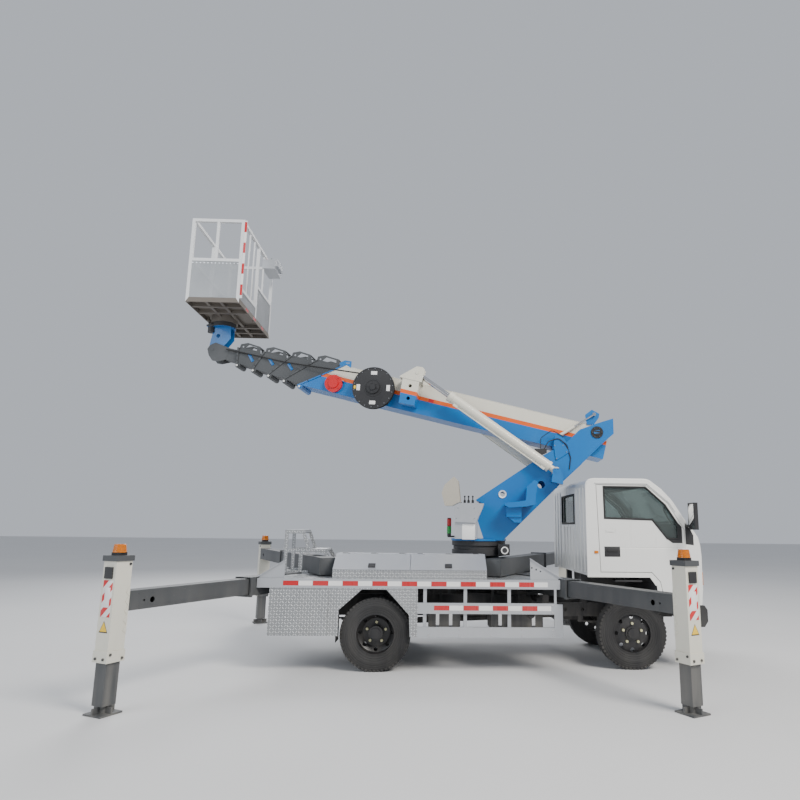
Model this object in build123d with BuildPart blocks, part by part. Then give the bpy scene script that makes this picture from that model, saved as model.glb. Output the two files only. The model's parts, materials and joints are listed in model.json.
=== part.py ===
from build123d import *
import math
import os

os.makedirs("parts", exist_ok=True)

# Truck frame: +X is the way the truck drives, +Z is up, lengths in millimetres.
# The origin is on the ground, under the middle of the parked truck.

# Wheel and axle stations
rear_axle_x = -548.7
wheelbase = 2800.0
front_axle_x = rear_axle_x + wheelbase
tyre_radius = 375.0
tyre_width = 176.0
rim_radius = 218.0
rim_wall = 11.0
front_track_half = 712.0
rear_outer_half = 842.0
twin_spacing = 212.0
axle_z = tyre_radius
hand_holes = 8
wheel_nuts = 5

# Chassis frame
rail_half = 385.0
rail_web = 6.0
rail_flange = 55.0
rail_bottom_z = 500.0
rail_height = 150.0
rail_top_z = rail_bottom_z + rail_height
seat_gap = 0.3
subframe_height = 85.0
subframe_top_z = rail_top_z + seat_gap + subframe_height
frame_rear_x = rear_axle_x - 1120.0
frame_front_x = rear_axle_x + 3400.0

# Deck
deck_rear_x = rear_axle_x - 1277.0
deck_front_x = rear_axle_x + 2016.0
deck_half = 980.0
deck_top_z = 950.0
deck_plate = 4.0
sheet = 4.0
edge_rail_height = 97.0
edge_rail_width = 55.0
guard_depth = 25.0
locker_depth = 515.0
locker_slope = 245.0
locker_front = 92.0
locker_height = 248.0
lid_gap = 4.0
lid_sheet = 5.0
toolbox_length = 702.0
toolbox_depth = 263.0
toolbox_bottom_z = 370.0
stair_width = 420.0

# Outriggers
jack_front_x = rear_axle_x + 2758.0
jack_rear_x = rear_axle_x - 2042.0
jack_half = 2370.0
arm_splay = 26.0
arm_width = 150.0
arm_height = 160.0
arm_wall = 8.0
housing_width = 186.0
housing_height = 188.0
housing_wall = 6.0
housing_mouth = 1500.0
housing_back = 3400.0
arm_back = 1930.0
lower_arm_z = 868.0
upper_arm_z = lower_arm_z + housing_height + 0.5
jack_tube = 150.0
jack_leg = 122.0
jack_top_z = 1240.0
jack_collar_z = 400.0
pad_half = 100.0
beacon_height = 68.0

# Turret and boom, seen from the side of the boom
slew_x = rear_axle_x + 1168.0
turret_yaw = 6.0
pedestal_radius = 250.0
ring_radius = 328.0
ring_bottom_z = 1170.0
ring_top_z = 1339.5
turntable_z = 1340.0
turntable_height = 25.0
column_half = 270.0
column_plate = 18.0
pivot_back = 1444.0
pivot_z = 2653.0
boom_rise = 13.9
pivot_pin = 40.0
pin_gap = 0.3
boom_wall = 8.0
lift_base_u = -932.0
lift_base_z = 2166.0
lift_eye_along = 2310.0
lift_eye_n = 175.0
lift_side = 350.0
lift_foot = 80.0
barrel_radius = 62.0
barrel_length = 1590.0
rod_radius = 30.0
level_u = -974.0
level_z = 2606.0
level_lug_u = -1424.0
level_lug_z = 2884.0
level_side = -224.0
level_radius = 19.0
level_rod = 10.0
tip_pivot_along = 5130.0
tip_pivot_n = -90.0
reel_along = 2817.0
reel_n = -124.0
reel_radius = 265.0
cap_along = 3354.0
cap_n = -175.0
cap_radius = 112.0

# Work basket
basket_ring_u = 3450.0
basket_floor_z = 4210.0
basket_height = 1110.0
basket_panel = 540.0
basket_width = 655.0
basket_length = 1500.0
basket_shift = 78.0
basket_floor = 60.0
post = 38.0

# Cab
cab_half = 880.0
cab_wall = 45.0
door_gap = 6.0
glass_sheet = 5.0
mirror_reach = 270.0
bumper_depth = 167.0
cab_floor_z = 995.0
cab_front_z = 690.0


def station(distance):
    """X of a point that lies this far ahead of the rear axle."""
    return rear_axle_x + distance


yaw = math.radians(turret_yaw)
rise = math.radians(boom_rise)
aft = Vector(-math.cos(yaw), math.sin(yaw), 0)
beam = Vector(math.sin(yaw), math.cos(yaw), 0)
up = Vector(0, 0, 1)
slew_centre = Vector(slew_x, 0, 0)
turret_side = Plane(origin=slew_centre, x_dir=aft, z_dir=beam)
boom_pivot = slew_centre - aft * pivot_back + up * pivot_z
boom_dir = aft * math.cos(rise) + up * math.sin(rise)
boom_normal = up * math.cos(rise) - aft * math.sin(rise)
boom_side = Plane(origin=boom_pivot, x_dir=boom_dir, z_dir=beam)


def save(part, name):
    """Label the finished solid and write its STEP file."""
    part.label = name
    export_step(part, "parts/" + name + ".step")


def cut_box(x0, x1, y0, y1, z0, z1, mode=Mode.SUBTRACT):
    """Axis-aligned block between two corners, taken from the part in work."""
    with Locations(((x0 + x1) / 2, (y0 + y1) / 2, (z0 + z1) / 2)):
        Box(abs(x1 - x0), abs(y1 - y0), z1 - z0, mode=mode)


def add_box(x0, x1, y0, y1, z0, z1):
    """Axis-aligned block between two corners."""
    cut_box(x0, x1, y0, y1, z0, z1, mode=Mode.ADD)


def prism(plane, points, amount, mode=Mode.ADD, both=False, shrink=0, round=0):
    """Closed outline on a plane, drawn in by shrink, its corners rounded, extruded along the normal."""
    with BuildSketch(plane) as outline:
        with BuildLine():
            Polyline(*points, close=True)
        make_face()
        if shrink:
            offset(amount=-shrink, kind=Kind.INTERSECTION, mode=Mode.REPLACE)
        if round:
            fillet(outline.vertices(), radius=round)
    extrude(outline.sketch, amount=amount, mode=mode, both=both)


def disc(plane, centres, radius, amount, mode=Mode.ADD):
    """Round bars or holes of one radius at several places of a plane, extruded along its normal."""
    with BuildSketch(plane) as outline:
        with Locations(*centres):
            Circle(radius)
    extrude(outline.sketch, amount=amount, mode=mode)


def band(points, low, high):
    """Closed outline between two offsets of an open line of points, low and high on its left-hand side."""
    normals = []
    for first, second in zip(points[:-1], points[1:]):
        length = math.hypot(second[0] - first[0], second[1] - first[1])
        normals.append((-(second[1] - first[1]) / length, (second[0] - first[0]) / length))
    joined = []
    for before, after in zip([normals[0]] + normals, normals + [normals[-1]]):
        nx, nz = before[0] + after[0], before[1] + after[1]
        scale = 2 / (nx * nx + nz * nz)
        joined.append((nx * scale, nz * scale))
    lower = [(p[0] + n[0] * low, p[1] + n[1] * low) for p, n in zip(points, joined)]
    upper = [(p[0] + n[0] * high, p[1] + n[1] * high) for p, n in zip(points, joined)]
    return lower + upper[::-1]


def profile(points):
    """Side outline whose first numbers are distances ahead of the rear axle."""
    return [(station(x), z) for x, z in points]


def arm_frame(end, side, height):
    """Plane at a jack's centre line: local x runs outwards along its arm."""
    x = jack_front_x if end > 0 else jack_rear_x
    a = math.radians(arm_splay)
    outward = (end * math.sin(a), side * math.cos(a), 0)
    return Plane(origin=(x, side * jack_half, height), x_dir=outward, z_dir=(0, 0, 1))


def arm_box(plane, x0, x1, width, z0, z1, mode=Mode.ADD, lateral=0):
    """Box along an arm, beside its centre line by lateral, between two heights above the plane."""
    with BuildSketch(plane.offset(z0)) as section:
        with Locations(((x0 + x1) / 2, lateral)):
            Rectangle(x1 - x0, width)
    extrude(section.sketch, amount=z1 - z0, mode=mode)


corners = (
    # name, end, side, height of the arm's centre
    ("front_right", 1, -1, lower_arm_z),
    ("rear_right", -1, -1, lower_arm_z),
    ("front_left", 1, 1, upper_arm_z),
    ("rear_left", -1, 1, upper_arm_z),
)

# Chassis frame: channel rails, cross-members between them, and the sub-frame that carries the outriggers
crossmember_stations = (-1060, -420, 430, 1180, 1900, 3300)
rail_hole_stations = (-820, -180, 190, 700, 950, 1450, 1700, 2150, 2350)
bearer_stations = (-1090, -330, 420, 1790)
rail_inner = rail_half - rail_web - seat_gap
bearer_outer = deck_half - toolbox_depth - 12
with BuildPart() as chassis_frame:
    for side in (-1, 1):
        outer = side * rail_half
        add_box(frame_rear_x, frame_front_x, outer, side * (rail_half - rail_flange), rail_bottom_z,
                rail_top_z)
        cut_box(frame_rear_x - 1, frame_front_x + 1, outer - side * rail_web,
                side * (rail_half - rail_flange - 1),
                rail_bottom_z + rail_web, rail_top_z - rail_web)
    with BuildSketch(Plane.XZ) as rail_holes:
        with Locations(*[(station(x), rail_bottom_z + rail_height / 2) for x in rail_hole_stations]):
            Circle(19)
    extrude(rail_holes.sketch, amount=rail_half + 5, both=True, mode=Mode.SUBTRACT)
    for distance in crossmember_stations:
        x = station(distance)
        low, high = rail_bottom_z + rail_web + seat_gap, rail_top_z - rail_web - seat_gap
        add_box(x - 30, x + 30, -rail_inner, rail_inner, low, high)
        cut_box(x - 24, x + 31, -rail_inner - 1, rail_inner + 1, low + 6, high - 6)
    for side in (-1, 1):
        inner = side * (rail_half - 70)
        add_box(deck_rear_x + 40, deck_front_x - 60, side * rail_half, inner, rail_top_z + seat_gap,
                subframe_top_z)
        cut_box(deck_rear_x + 39, deck_front_x - 59, side * (rail_half - 5), inner + side * 5,
                rail_top_z + seat_gap + 5, subframe_top_z - 5)
    # cab mounts on the rails
    for x0, x1, z in ((2340, 2400, cab_floor_z), (3180, 3260, cab_front_z)):
        for side in (-1, 1):
            add_box(station(x0), station(x1), side * rail_half, side * (rail_half - 70), rail_top_z - 1,
                    z - seat_gap)
    for distance in bearer_stations:
        x = station(distance)
        for side in (-1, 1):
            add_box(x - 30, x + 30, side * (rail_half + seat_gap), side * bearer_outer,
                    subframe_top_z - 50, subframe_top_z)
save(chassis_frame.part, "chassis_frame")

# Deck: plate with edge rails and cross beams, lockers, stairs, toolbox, wheel-arch panels and side guards
deck_beam_stations = (-1252, -1000, -640, -300, 120, 560, 800, 1500, 1960)
deck_legs = ((-1000, (1,)), (-640, (-1,)), (-300, (-1, 1)), (120, (-1, 1)), (560, (-1, 1)), (800, (-1, 1)),
             (1500, (-1,)))
locker_x = (station(-470), station(1180))
locker_outer = deck_half - 15
locker_inner = locker_outer - locker_depth
locker_corner = (-(locker_outer - locker_slope), deck_top_z + locker_height)
locker_section = (
    (-locker_outer, deck_top_z + seat_gap), (-locker_outer, deck_top_z + locker_front), locker_corner,
    (-locker_inner, deck_top_z + locker_height), (-locker_inner, deck_top_z + seat_gap))
locker_space = (
    (-locker_outer - 10, deck_top_z), (-locker_outer - 10, deck_top_z + locker_front),
    (locker_corner[0] - 2, locker_corner[1] + 10), (locker_corner[0] + 4, locker_corner[1] - sheet),
    (-locker_inner - sheet, locker_corner[1] - sheet), (-locker_inner - sheet, deck_top_z))
locker_half = (locker_x[1] - locker_x[0]) / 2
lid_length = locker_half - 6
lid_line = ((-locker_outer - 6, deck_top_z + locker_front - 3.8), locker_corner)
lid_run = Vector(locker_corner[0] + locker_outer, locker_height - locker_front, 0).normalized()
lid_hinge = (locker_corner[0] - lid_run.Y * (lid_gap + lid_sheet / 2),
             locker_corner[1] + lid_run.X * (lid_gap + lid_sheet / 2))
lid_starts = (locker_x[0] + 3, locker_x[0] + lid_length + 9)
lid_knuckles = (0.12, 0.5, 0.88)
toolbox_x = (station(-1118), station(-1118) + toolbox_length)
toolbox_z = (toolbox_bottom_z, deck_top_z - edge_rail_height - 5)
toolbox_y = (-deck_half + 5, -deck_half + 5 + toolbox_depth)
toolbox_face = toolbox_y[0] - 3
hinge_heights = (toolbox_z[0] + 70, toolbox_z[1] - 70)
door_frame = 18.0
door_post = 88.0
rail_under_z = deck_top_z - edge_rail_height - seat_gap
arch_line = ((-416, 370), (-416, rail_under_z), (443, rail_under_z), (443, 363), (365, 363), (354, 584),
             (110, 840), (-148, 840), (-386, 630), (-386, 370))
stair_y = -300.0
deck_seat_z = deck_top_z + seat_gap
stair_side = ((-1140, deck_seat_z), (-1140, 1447), (-916, 1447), (-830, 1230), (-654, 1230),
              (-548, 1048), (-548, deck_seat_z))
stair_windows = (
    ((-1098, 985), (-1098, 1188), (-965, 1188), (-965, 985)),
    ((-920, 985), (-920, 1188), (-680, 1188), (-592, 1035), (-592, 985)),
    ((-1098, 1232), (-1098, 1405), (-943, 1405), (-873, 1232)))
strut_y = -deck_half + 12
struts = (
    # foot, head, corner under the head, holes of the gusset
    ((2000, 962), (1650, 1176), (1650, deck_seat_z), ((1668, 1075), (1715, 1058), (1762, 1040))),
    ((-1262, 962), (-975, 1142), (-975, deck_seat_z), ()),
)
def clear_housings():
    """Cut the room of the outrigger housings out of the part being built."""
    for name, end, side, height in corners:
        plane = arm_frame(end, side, 0)
        above = 0.5 if side < 0 else 4
        arm_box(plane, -housing_back - 20, -housing_mouth - 60, housing_width + 16,
                height - housing_height / 2 - 8, height + housing_height / 2 + above, Mode.SUBTRACT)
        for x0, x1 in ((-housing_back - 20, -housing_back + 32), (-housing_mouth - 61, -housing_mouth + 200)):
            arm_box(plane, x0, x1, housing_width + 46, height - housing_height / 2 - 20,
                    height + housing_height / 2 + 20, Mode.SUBTRACT)


with BuildPart() as deck:
    add_box(deck_rear_x, deck_front_x, -deck_half, deck_half, deck_top_z - deck_plate, deck_top_z)
    for side in (-1, 1):
        outer, inner = side * deck_half, side * (deck_half - edge_rail_width)
        add_box(deck_rear_x, deck_front_x, outer, inner, deck_top_z - edge_rail_height, deck_top_z - 1)
        cut_box(deck_rear_x - 1, deck_front_x + 1, outer - side * sheet, inner - side,
                deck_top_z - edge_rail_height + sheet, deck_top_z - deck_plate)
    for distance in deck_beam_stations:
        x = station(distance)
        add_box(x - 25, x + 25, -deck_half + sheet - 1, deck_half - sheet + 1, deck_top_z - 70,
                deck_top_z - 1)
        cut_box(x - 20, x + 20, -deck_half + sheet, deck_half - sheet, deck_top_z - 66,
                deck_top_z - deck_plate)
    with Locations((slew_x, 0, deck_top_z)):
        Cylinder(pedestal_radius + 20, 300, mode=Mode.SUBTRACT)
    clear_housings()
save(deck.part, "deck")
with BuildPart() as deck_posts:
    for distance, sides in deck_legs:
        x = station(distance)
        for side in sides:
            add_box(x - 15, x + 15, side * (rail_half - 65), side * (rail_half - 5),
                    subframe_top_z + seat_gap, deck_top_z - 70 - seat_gap)
    clear_housings()
save(deck_posts.part, "deck_posts")

# Stairs to the turret
with BuildPart() as deck_steps:
    for y in (stair_y, stair_y + stair_width - sheet):
        prism(Plane.XZ.offset(-y), profile(stair_side), -sheet)
        for window in stair_windows:
            prism(Plane.XZ.offset(-y + 1), profile(window), -sheet - 2, Mode.SUBTRACT)
    for x0, x1, z in ((-1140, -916, 1447), (-830, -654, 1230), (-592, -548, 1060)):
        add_box(station(x0), station(x1), stair_y, stair_y + stair_width, z - 30, z)
        cut_box(station(x0) + 3, station(x1) - 3, stair_y + sheet, stair_y + stair_width - sheet, z - 31,
                z - 3)
    # slotted struts and their gussets at both ends of the right edge
    for foot, head, under, holes in struts:
        gusset = Plane.XZ.offset(-strut_y)
        outward = 1 if foot[0] > head[0] else -1
        rib = band(profile((head, foot)), -8, 0) if outward > 0 else band(profile((foot, head)), -8, 0)
        prism(gusset.offset(-60), rib, 60)
        prism(gusset.offset(-20), profile((head, foot, (foot[0], deck_seat_z), under)), 5)
        if holes:
            disc(gusset.offset(-21), profile(holes), 9, 7, Mode.SUBTRACT)
        for share in (0.16, 0.33, 0.5, 0.67, 0.84):
            x = head[0] + (foot[0] - head[0]) * share
            z = head[1] + (foot[1] - head[1]) * share
            cut_box(station(x - 18), station(x + 18), strut_y + 30, strut_y + 42, z - 40, z + 40)
    clear_housings()
save(deck_steps.part, "deck_steps")

# Side lockers on the right edge, open behind their lids
with BuildPart() as lockers:
    prism(Plane.YZ.offset(locker_x[0]), locker_section, locker_x[1] - locker_x[0])
    for x in (locker_x[0] + sheet, locker_x[0] + locker_half + sheet / 2):
        prism(Plane.YZ.offset(x), locker_space, locker_half - sheet * 1.5, Mode.SUBTRACT)
    add_box(locker_x[0], locker_x[1], -locker_outer, -locker_outer + sheet, deck_seat_z,
            deck_top_z + locker_front - 2)
    for x0 in lid_starts:
        for share in lid_knuckles:
            knuckle_plane = Plane.YZ.offset(x0 + lid_length * share + 30.5)
            disc(knuckle_plane, [lid_hinge], 5, 24)
            prism(knuckle_plane, ((lid_hinge[0], lid_hinge[1] + 3), (lid_hinge[0], lid_hinge[1] - 3),
                                  (lid_hinge[0] + 16, locker_corner[1] - 3),
                                  (lid_hinge[0] + 16, locker_corner[1])),
                  24)
    clear_housings()
save(lockers.part, "lockers")

# Toolbox under the deck, open behind its door
with BuildPart() as toolbox:
    add_box(*toolbox_x, *toolbox_y, toolbox_z[0], rail_under_z)
    cut_box(toolbox_x[0] + sheet, toolbox_x[1] - sheet, toolbox_y[0] + sheet, toolbox_y[1] - sheet,
            toolbox_z[0] + sheet, toolbox_z[1])
    cut_box(toolbox_x[0] + door_frame, toolbox_x[1] - door_post, toolbox_y[0] - 1, toolbox_y[0] + sheet + 1,
            toolbox_z[0] + door_frame, toolbox_z[1] - door_frame)
    for z in hinge_heights:
        add_box(toolbox_x[0] + 1, toolbox_x[0] + 11, toolbox_face - 8, toolbox_y[0] + 1, z + 30.5, z + 48)
save(toolbox.part, "toolbox")

# Wheel-arch panels, side guards and mud flaps, one set for each side
with BuildPart() as side_guards:
    for side in (-1, 1):
        panel = Plane.XZ.offset(-side * (deck_half - sheet))
        prism(panel, profile(arch_line), side * -sheet)
        y0, y1 = side * deck_half, side * (deck_half - guard_depth)
        for z0, z1 in ((360, 463), (597, 708)):
            add_box(station(440), station(1905), y0, y1, z0, z1)
            cut_box(station(444), station(1901), y0 - side * sheet, y1 - side, z0 + sheet, z1 - sheet)
        for x in (520, 950, 1420):
            add_box(station(x - 18), station(x + 18), y1 + side * sheet, y1 - side * 20, 400, rail_under_z)
        add_box(station(1900), station(1925), y0, y1, 690, rail_under_z)
        add_box(station(1900), station(1989), y0, y1, 357, 700)
        # mud flaps behind the rear wheels' arch
        add_box(station(-412), station(-406), side * 740, side * (deck_half - guard_depth), 300, rail_under_z)
save(side_guards.part, "side_guards")

# Tank and air vessel behind the right guard
with BuildPart() as tanks:
    for x0, x1, z0, z1 in ((1230, 1790, 420, 640), (560, 900, 430, 620)):
        add_box(station(x0), station(x1), -deck_half + 80, -rail_half - 120, z0, z1)
        for x in (x0 + 60, x1 - 200):
            add_box(station(x - 15), station(x + 15), -rail_half - 130, -rail_half - 100, z1 - 20,
                    deck_top_z - deck_plate - seat_gap)
save(tanks.part, "tanks")

# Locker lids: sloped lids hinged along their top edge, each with a paddle latch
for name, x0 in zip(("locker_lid_rear", "locker_lid_front"), lid_starts):
    with BuildPart() as lid:
        prism(Plane.YZ.offset(x0), band(lid_line, lid_gap, lid_gap + lid_sheet), lid_length)
        for share in lid_knuckles:
            middle = x0 + lid_length * share
            disc(Plane.YZ.offset(middle + 30.2), [lid_hinge], 12, 24.7, Mode.SUBTRACT)
            disc(Plane.YZ.offset(middle - 30), [lid_hinge], 5, 60.2)
        latch_y = -locker_outer + 0.2 * locker_slope
        latch_z = deck_top_z + locker_front + 0.2 * (locker_height - locker_front)
        latch_line = ((latch_y - 26, latch_z - 16.5), (latch_y + 26, latch_z + 16.5))
        prism(Plane.YZ.offset(x0 + lid_length / 2 - 38), band(latch_line, lid_gap, lid_gap + lid_sheet + 12),
              76)
    save(lid.part, name)

# Toolbox door, hinged on its rear edge
with BuildPart() as toolbox_door:
    add_box(toolbox_x[0] + 6, toolbox_x[1] - 80, toolbox_face - 5, toolbox_face, toolbox_z[0] + 8,
            toolbox_z[1] - 8)
    for z in hinge_heights:
        cut_box(toolbox_x[0] + 5, toolbox_x[0] + 13, toolbox_face - 9, toolbox_face + 1, z + 30.2, z + 48.4)
    with Locations(*[(toolbox_x[0] + 6, toolbox_face - 5, z) for z in hinge_heights]):
        Cylinder(4.5, 60)
    add_box(toolbox_x[1] - 150, toolbox_x[1] - 95, toolbox_face - 14, toolbox_face - 4, toolbox_z[0] + 190,
            toolbox_z[0] + 270)
save(toolbox_door.part, "toolbox_door")

# Outrigger housings: two crossed pairs on saddles, the left pair on top of the right pair
saddle_mid = rail_half - 35
with BuildPart() as outrigger_housings:
    for name, end, side, height in corners:
        plane = arm_frame(end, side, height)
        half = housing_height / 2
        arm_box(plane, -housing_back, -housing_mouth, housing_width, -half, half)
        top = half if side < 0 else half + 12
        bottom = -half - 12 if side < 0 else -half
        arm_box(plane, -housing_mouth - 30, -housing_mouth, housing_width + 30, bottom, top)
        arm_box(plane, -housing_back, -housing_back + 12, housing_width + 24, bottom + 12, half)
        if side < 0:
            a = math.radians(arm_splay)
            for y in (-saddle_mid, saddle_mid):
                run = (jack_half + y) / math.cos(a)
                x = (jack_front_x if end > 0 else jack_rear_x) - end * math.sin(a) * run
                add_box(x - 60, x + 60, y - 35, y + 35, subframe_top_z + seat_gap, height - half + 1)
    for name, end, side, height in corners:
        inner = housing_height / 2 - housing_wall
        arm_box(arm_frame(end, side, height), -housing_back - 1, -housing_mouth + 1,
                housing_width - 2 * housing_wall, -inner, inner, Mode.SUBTRACT)
save(outrigger_housings.part, "outrigger_housings")

# Outrigger arms, each with its jack housing and beacon, and the jack legs with their pads
collar_half = jack_tube / 2 + 8
weld_teeth = 5
weld_pitch = 76.0
pad_lift = (housing_height - arm_height) / 2 - housing_wall - 0.3
for name, end, side, height in corners:
    plane = arm_frame(end, side, height)
    ground = arm_frame(end, side, 0)
    half = arm_height / 2
    with BuildPart() as arm:
        arm_box(plane, -arm_back, 0, arm_width, -half, half)
        arm_box(plane, -arm_back - 1, -jack_tube / 2 - 20, arm_width - 2 * arm_wall,
                -half + arm_wall, half - arm_wall, Mode.SUBTRACT)
        # wear pads at the inner end run in the housing
        for z0, z1 in ((-half - pad_lift, -half + 1), (half - 1, half + pad_lift)):
            arm_box(plane, -arm_back, -arm_back + 120, arm_width - 30, z0, z1)
        # holes for the travel pins
        with BuildSketch(Plane(origin=plane.origin, x_dir=plane.x_dir, z_dir=plane.y_dir)) as pins:
            with Locations((-311, 10)):
                Circle(25)
            with Locations((-227, 8)):
                Circle(10)
        extrude(pins.sketch, amount=arm_width, both=True, mode=Mode.SUBTRACT)
        # jack housing with its collar and head
        arm_box(ground, -jack_tube / 2, jack_tube / 2, jack_tube, jack_collar_z, jack_top_z)
        arm_box(ground, -collar_half, collar_half, 2 * collar_half, jack_collar_z, jack_collar_z + 90)
        arm_box(ground, -jack_tube / 2 - 10, jack_tube / 2 + 10, jack_tube + 20, jack_top_z - 45, jack_top_z)
        arm_box(ground, jack_tube / 2 - 1, jack_tube / 2 + 12, 88, jack_top_z - 185, jack_top_z - 92)
        # zigzag weld plates on both flanks
        for flank in (-1, 1):
            face = Plane(origin=ground.origin + ground.y_dir * (flank * (jack_tube / 2 - 1)),
                         x_dir=ground.x_dir, z_dir=ground.y_dir * flank)
            teeth = [(-jack_tube / 2, jack_collar_z + 210)]
            for tooth in range(weld_teeth):
                z = jack_collar_z + 210 + tooth * weld_pitch
                sign = flank * -1
                teeth.append((-jack_tube / 2 + 34, z + weld_pitch * 0.35))
                teeth.append((-jack_tube / 2 + 8, z + weld_pitch))
            teeth.append((-jack_tube / 2, jack_collar_z + 210 + weld_teeth * weld_pitch))
            prism(face, [(x, z * sign) for x, z in teeth], 5)
        arm_box(ground, -jack_leg / 2 - 0.5, jack_leg / 2 + 0.5, jack_leg + 1,
                jack_collar_z - 1, jack_collar_z + 30, Mode.SUBTRACT)
        arm_box(ground, -jack_leg / 2 - 5, jack_leg / 2 + 5, jack_leg + 10,
                jack_collar_z + 30, jack_top_z - 60, Mode.SUBTRACT)
        # beacon on its feet
        arm_box(ground, -42, 42, 84, jack_top_z - 1, jack_top_z + 25)
        with Locations(ground.offset(jack_top_z + 24)):
            Cone(55, 44, beacon_height, align=(Align.CENTER, Align.CENTER, Align.MIN))
    save(arm.part, "outrigger_arm_" + name)
    with BuildPart() as leg:
        arm_box(ground, -jack_leg / 2, jack_leg / 2, jack_leg, 70, jack_top_z - 400)
        with Locations(ground):
            Cylinder(38, 72, align=(Align.CENTER, Align.CENTER, Align.MIN))
        arm_box(ground, -pad_half, pad_half, 2 * pad_half, 0, 14)
        arm_box(ground, -pad_half, pad_half, 14, 12, 60)
        arm_box(ground, -7, 7, 2 * pad_half, 12, 60)
    save(leg.part, "jack_leg_" + name)

# Slew base: flanged pedestal, ring and the slew motor beside it
with BuildPart() as slew_base:
    with BuildSketch(Plane(origin=(slew_x, 0, 0), x_dir=(1, 0, 0), z_dir=(0, -1, 0))):
        with BuildLine():
            Polyline((pedestal_radius - 25, subframe_top_z), (pedestal_radius, subframe_top_z),
                     (pedestal_radius, ring_bottom_z - 16), (ring_radius - 12, ring_bottom_z - 8),
                     (ring_radius - 12, ring_bottom_z), (ring_radius, ring_bottom_z),
                     (ring_radius, ring_bottom_z + 66), (ring_radius - 18, ring_bottom_z + 72),
                     (ring_radius - 18, ring_top_z - 62), (ring_radius, ring_top_z - 56),
                     (ring_radius, ring_top_z), (ring_radius - 90, ring_top_z),
                     (ring_radius - 90, ring_bottom_z), (pedestal_radius - 25, ring_bottom_z - 30),
                     close=True)
        make_face()
    revolve(axis=Axis((slew_x, 0, 0), (0, 0, 1)))
    for side in (-1, 1):
        add_box(slew_x - 195, slew_x + 195, side * rail_half, side * (rail_half - 70),
                subframe_top_z + seat_gap, subframe_top_z + 14)
    add_box(slew_x - 195, slew_x + 195, -rail_half + 60, rail_half - 60, subframe_top_z + 2,
            subframe_top_z + 14)
    with Locations((slew_x, 0, subframe_top_z)):
        Cylinder(pedestal_radius - 25, 60, mode=Mode.SUBTRACT)
    motor = slew_centre + aft * -313 + beam * -300
    with Locations(Plane(origin=(motor.X, motor.Y, 1242), x_dir=aft, z_dir=beam * -1)):
        Cylinder(62, 150, align=(Align.CENTER, Align.CENTER, Align.MIN))
        Cylinder(48, 205, align=(Align.CENTER, Align.CENTER, Align.MIN))
    prism(turret_side.offset(-330), ((-375, 1180), (-375, 1305), (-240, 1305), (-240, 1180)), 120)
save(slew_base.part, "slew_base")

# Turret column: turntable, two raked side plates, cross plates and the operator's seat
column_outline = (
    (-70, 1350), (-300, 1350), (-985, 2020), (-1126, 2150), (-1541, 2549), (-1644, 2636), (-1644, 2825),
    (-1423, 2756), (-1238, 2687), (-1087, 2542), (-787, 2366), (-653, 2281), (31, 1824), (-71, 1777),
    (5, 1574))
column_holes = ((-293, 1895), (-760, 2016))
seat_outline = ((-265, 1776), (-562, 1814), (-575, 1968), (-660, 2052), (-707, 2029), (-681, 1898),
                (-668, 1768),
                (-561, 1744), (-372, 1730))
foot_outline = (
    (lift_base_u - 75, lift_base_z - 156), (lift_base_u - 75, lift_base_z - 56),
    (lift_base_u - 40, lift_base_z + 34),
    (lift_base_u + 40, lift_base_z + 34), (lift_base_u + 60, lift_base_z - 126))
foot_web = (
    (lift_base_u - 75, lift_base_z - 156), (lift_base_u - 75, lift_base_z - 111),
    (lift_base_u + 57, lift_base_z - 81),
    (lift_base_u + 60, lift_base_z - 126))
lift_inner = lift_side - lift_foot / 2 - 26
lift_outer = lift_side + lift_foot / 2 + 26
level_ear = ((level_u + 70, level_z - 160), (level_u - 120, level_z - 100), (level_u - 38, level_z + 20),
             (level_u, level_z + 34), (level_u + 36, level_z + 10))
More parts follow.
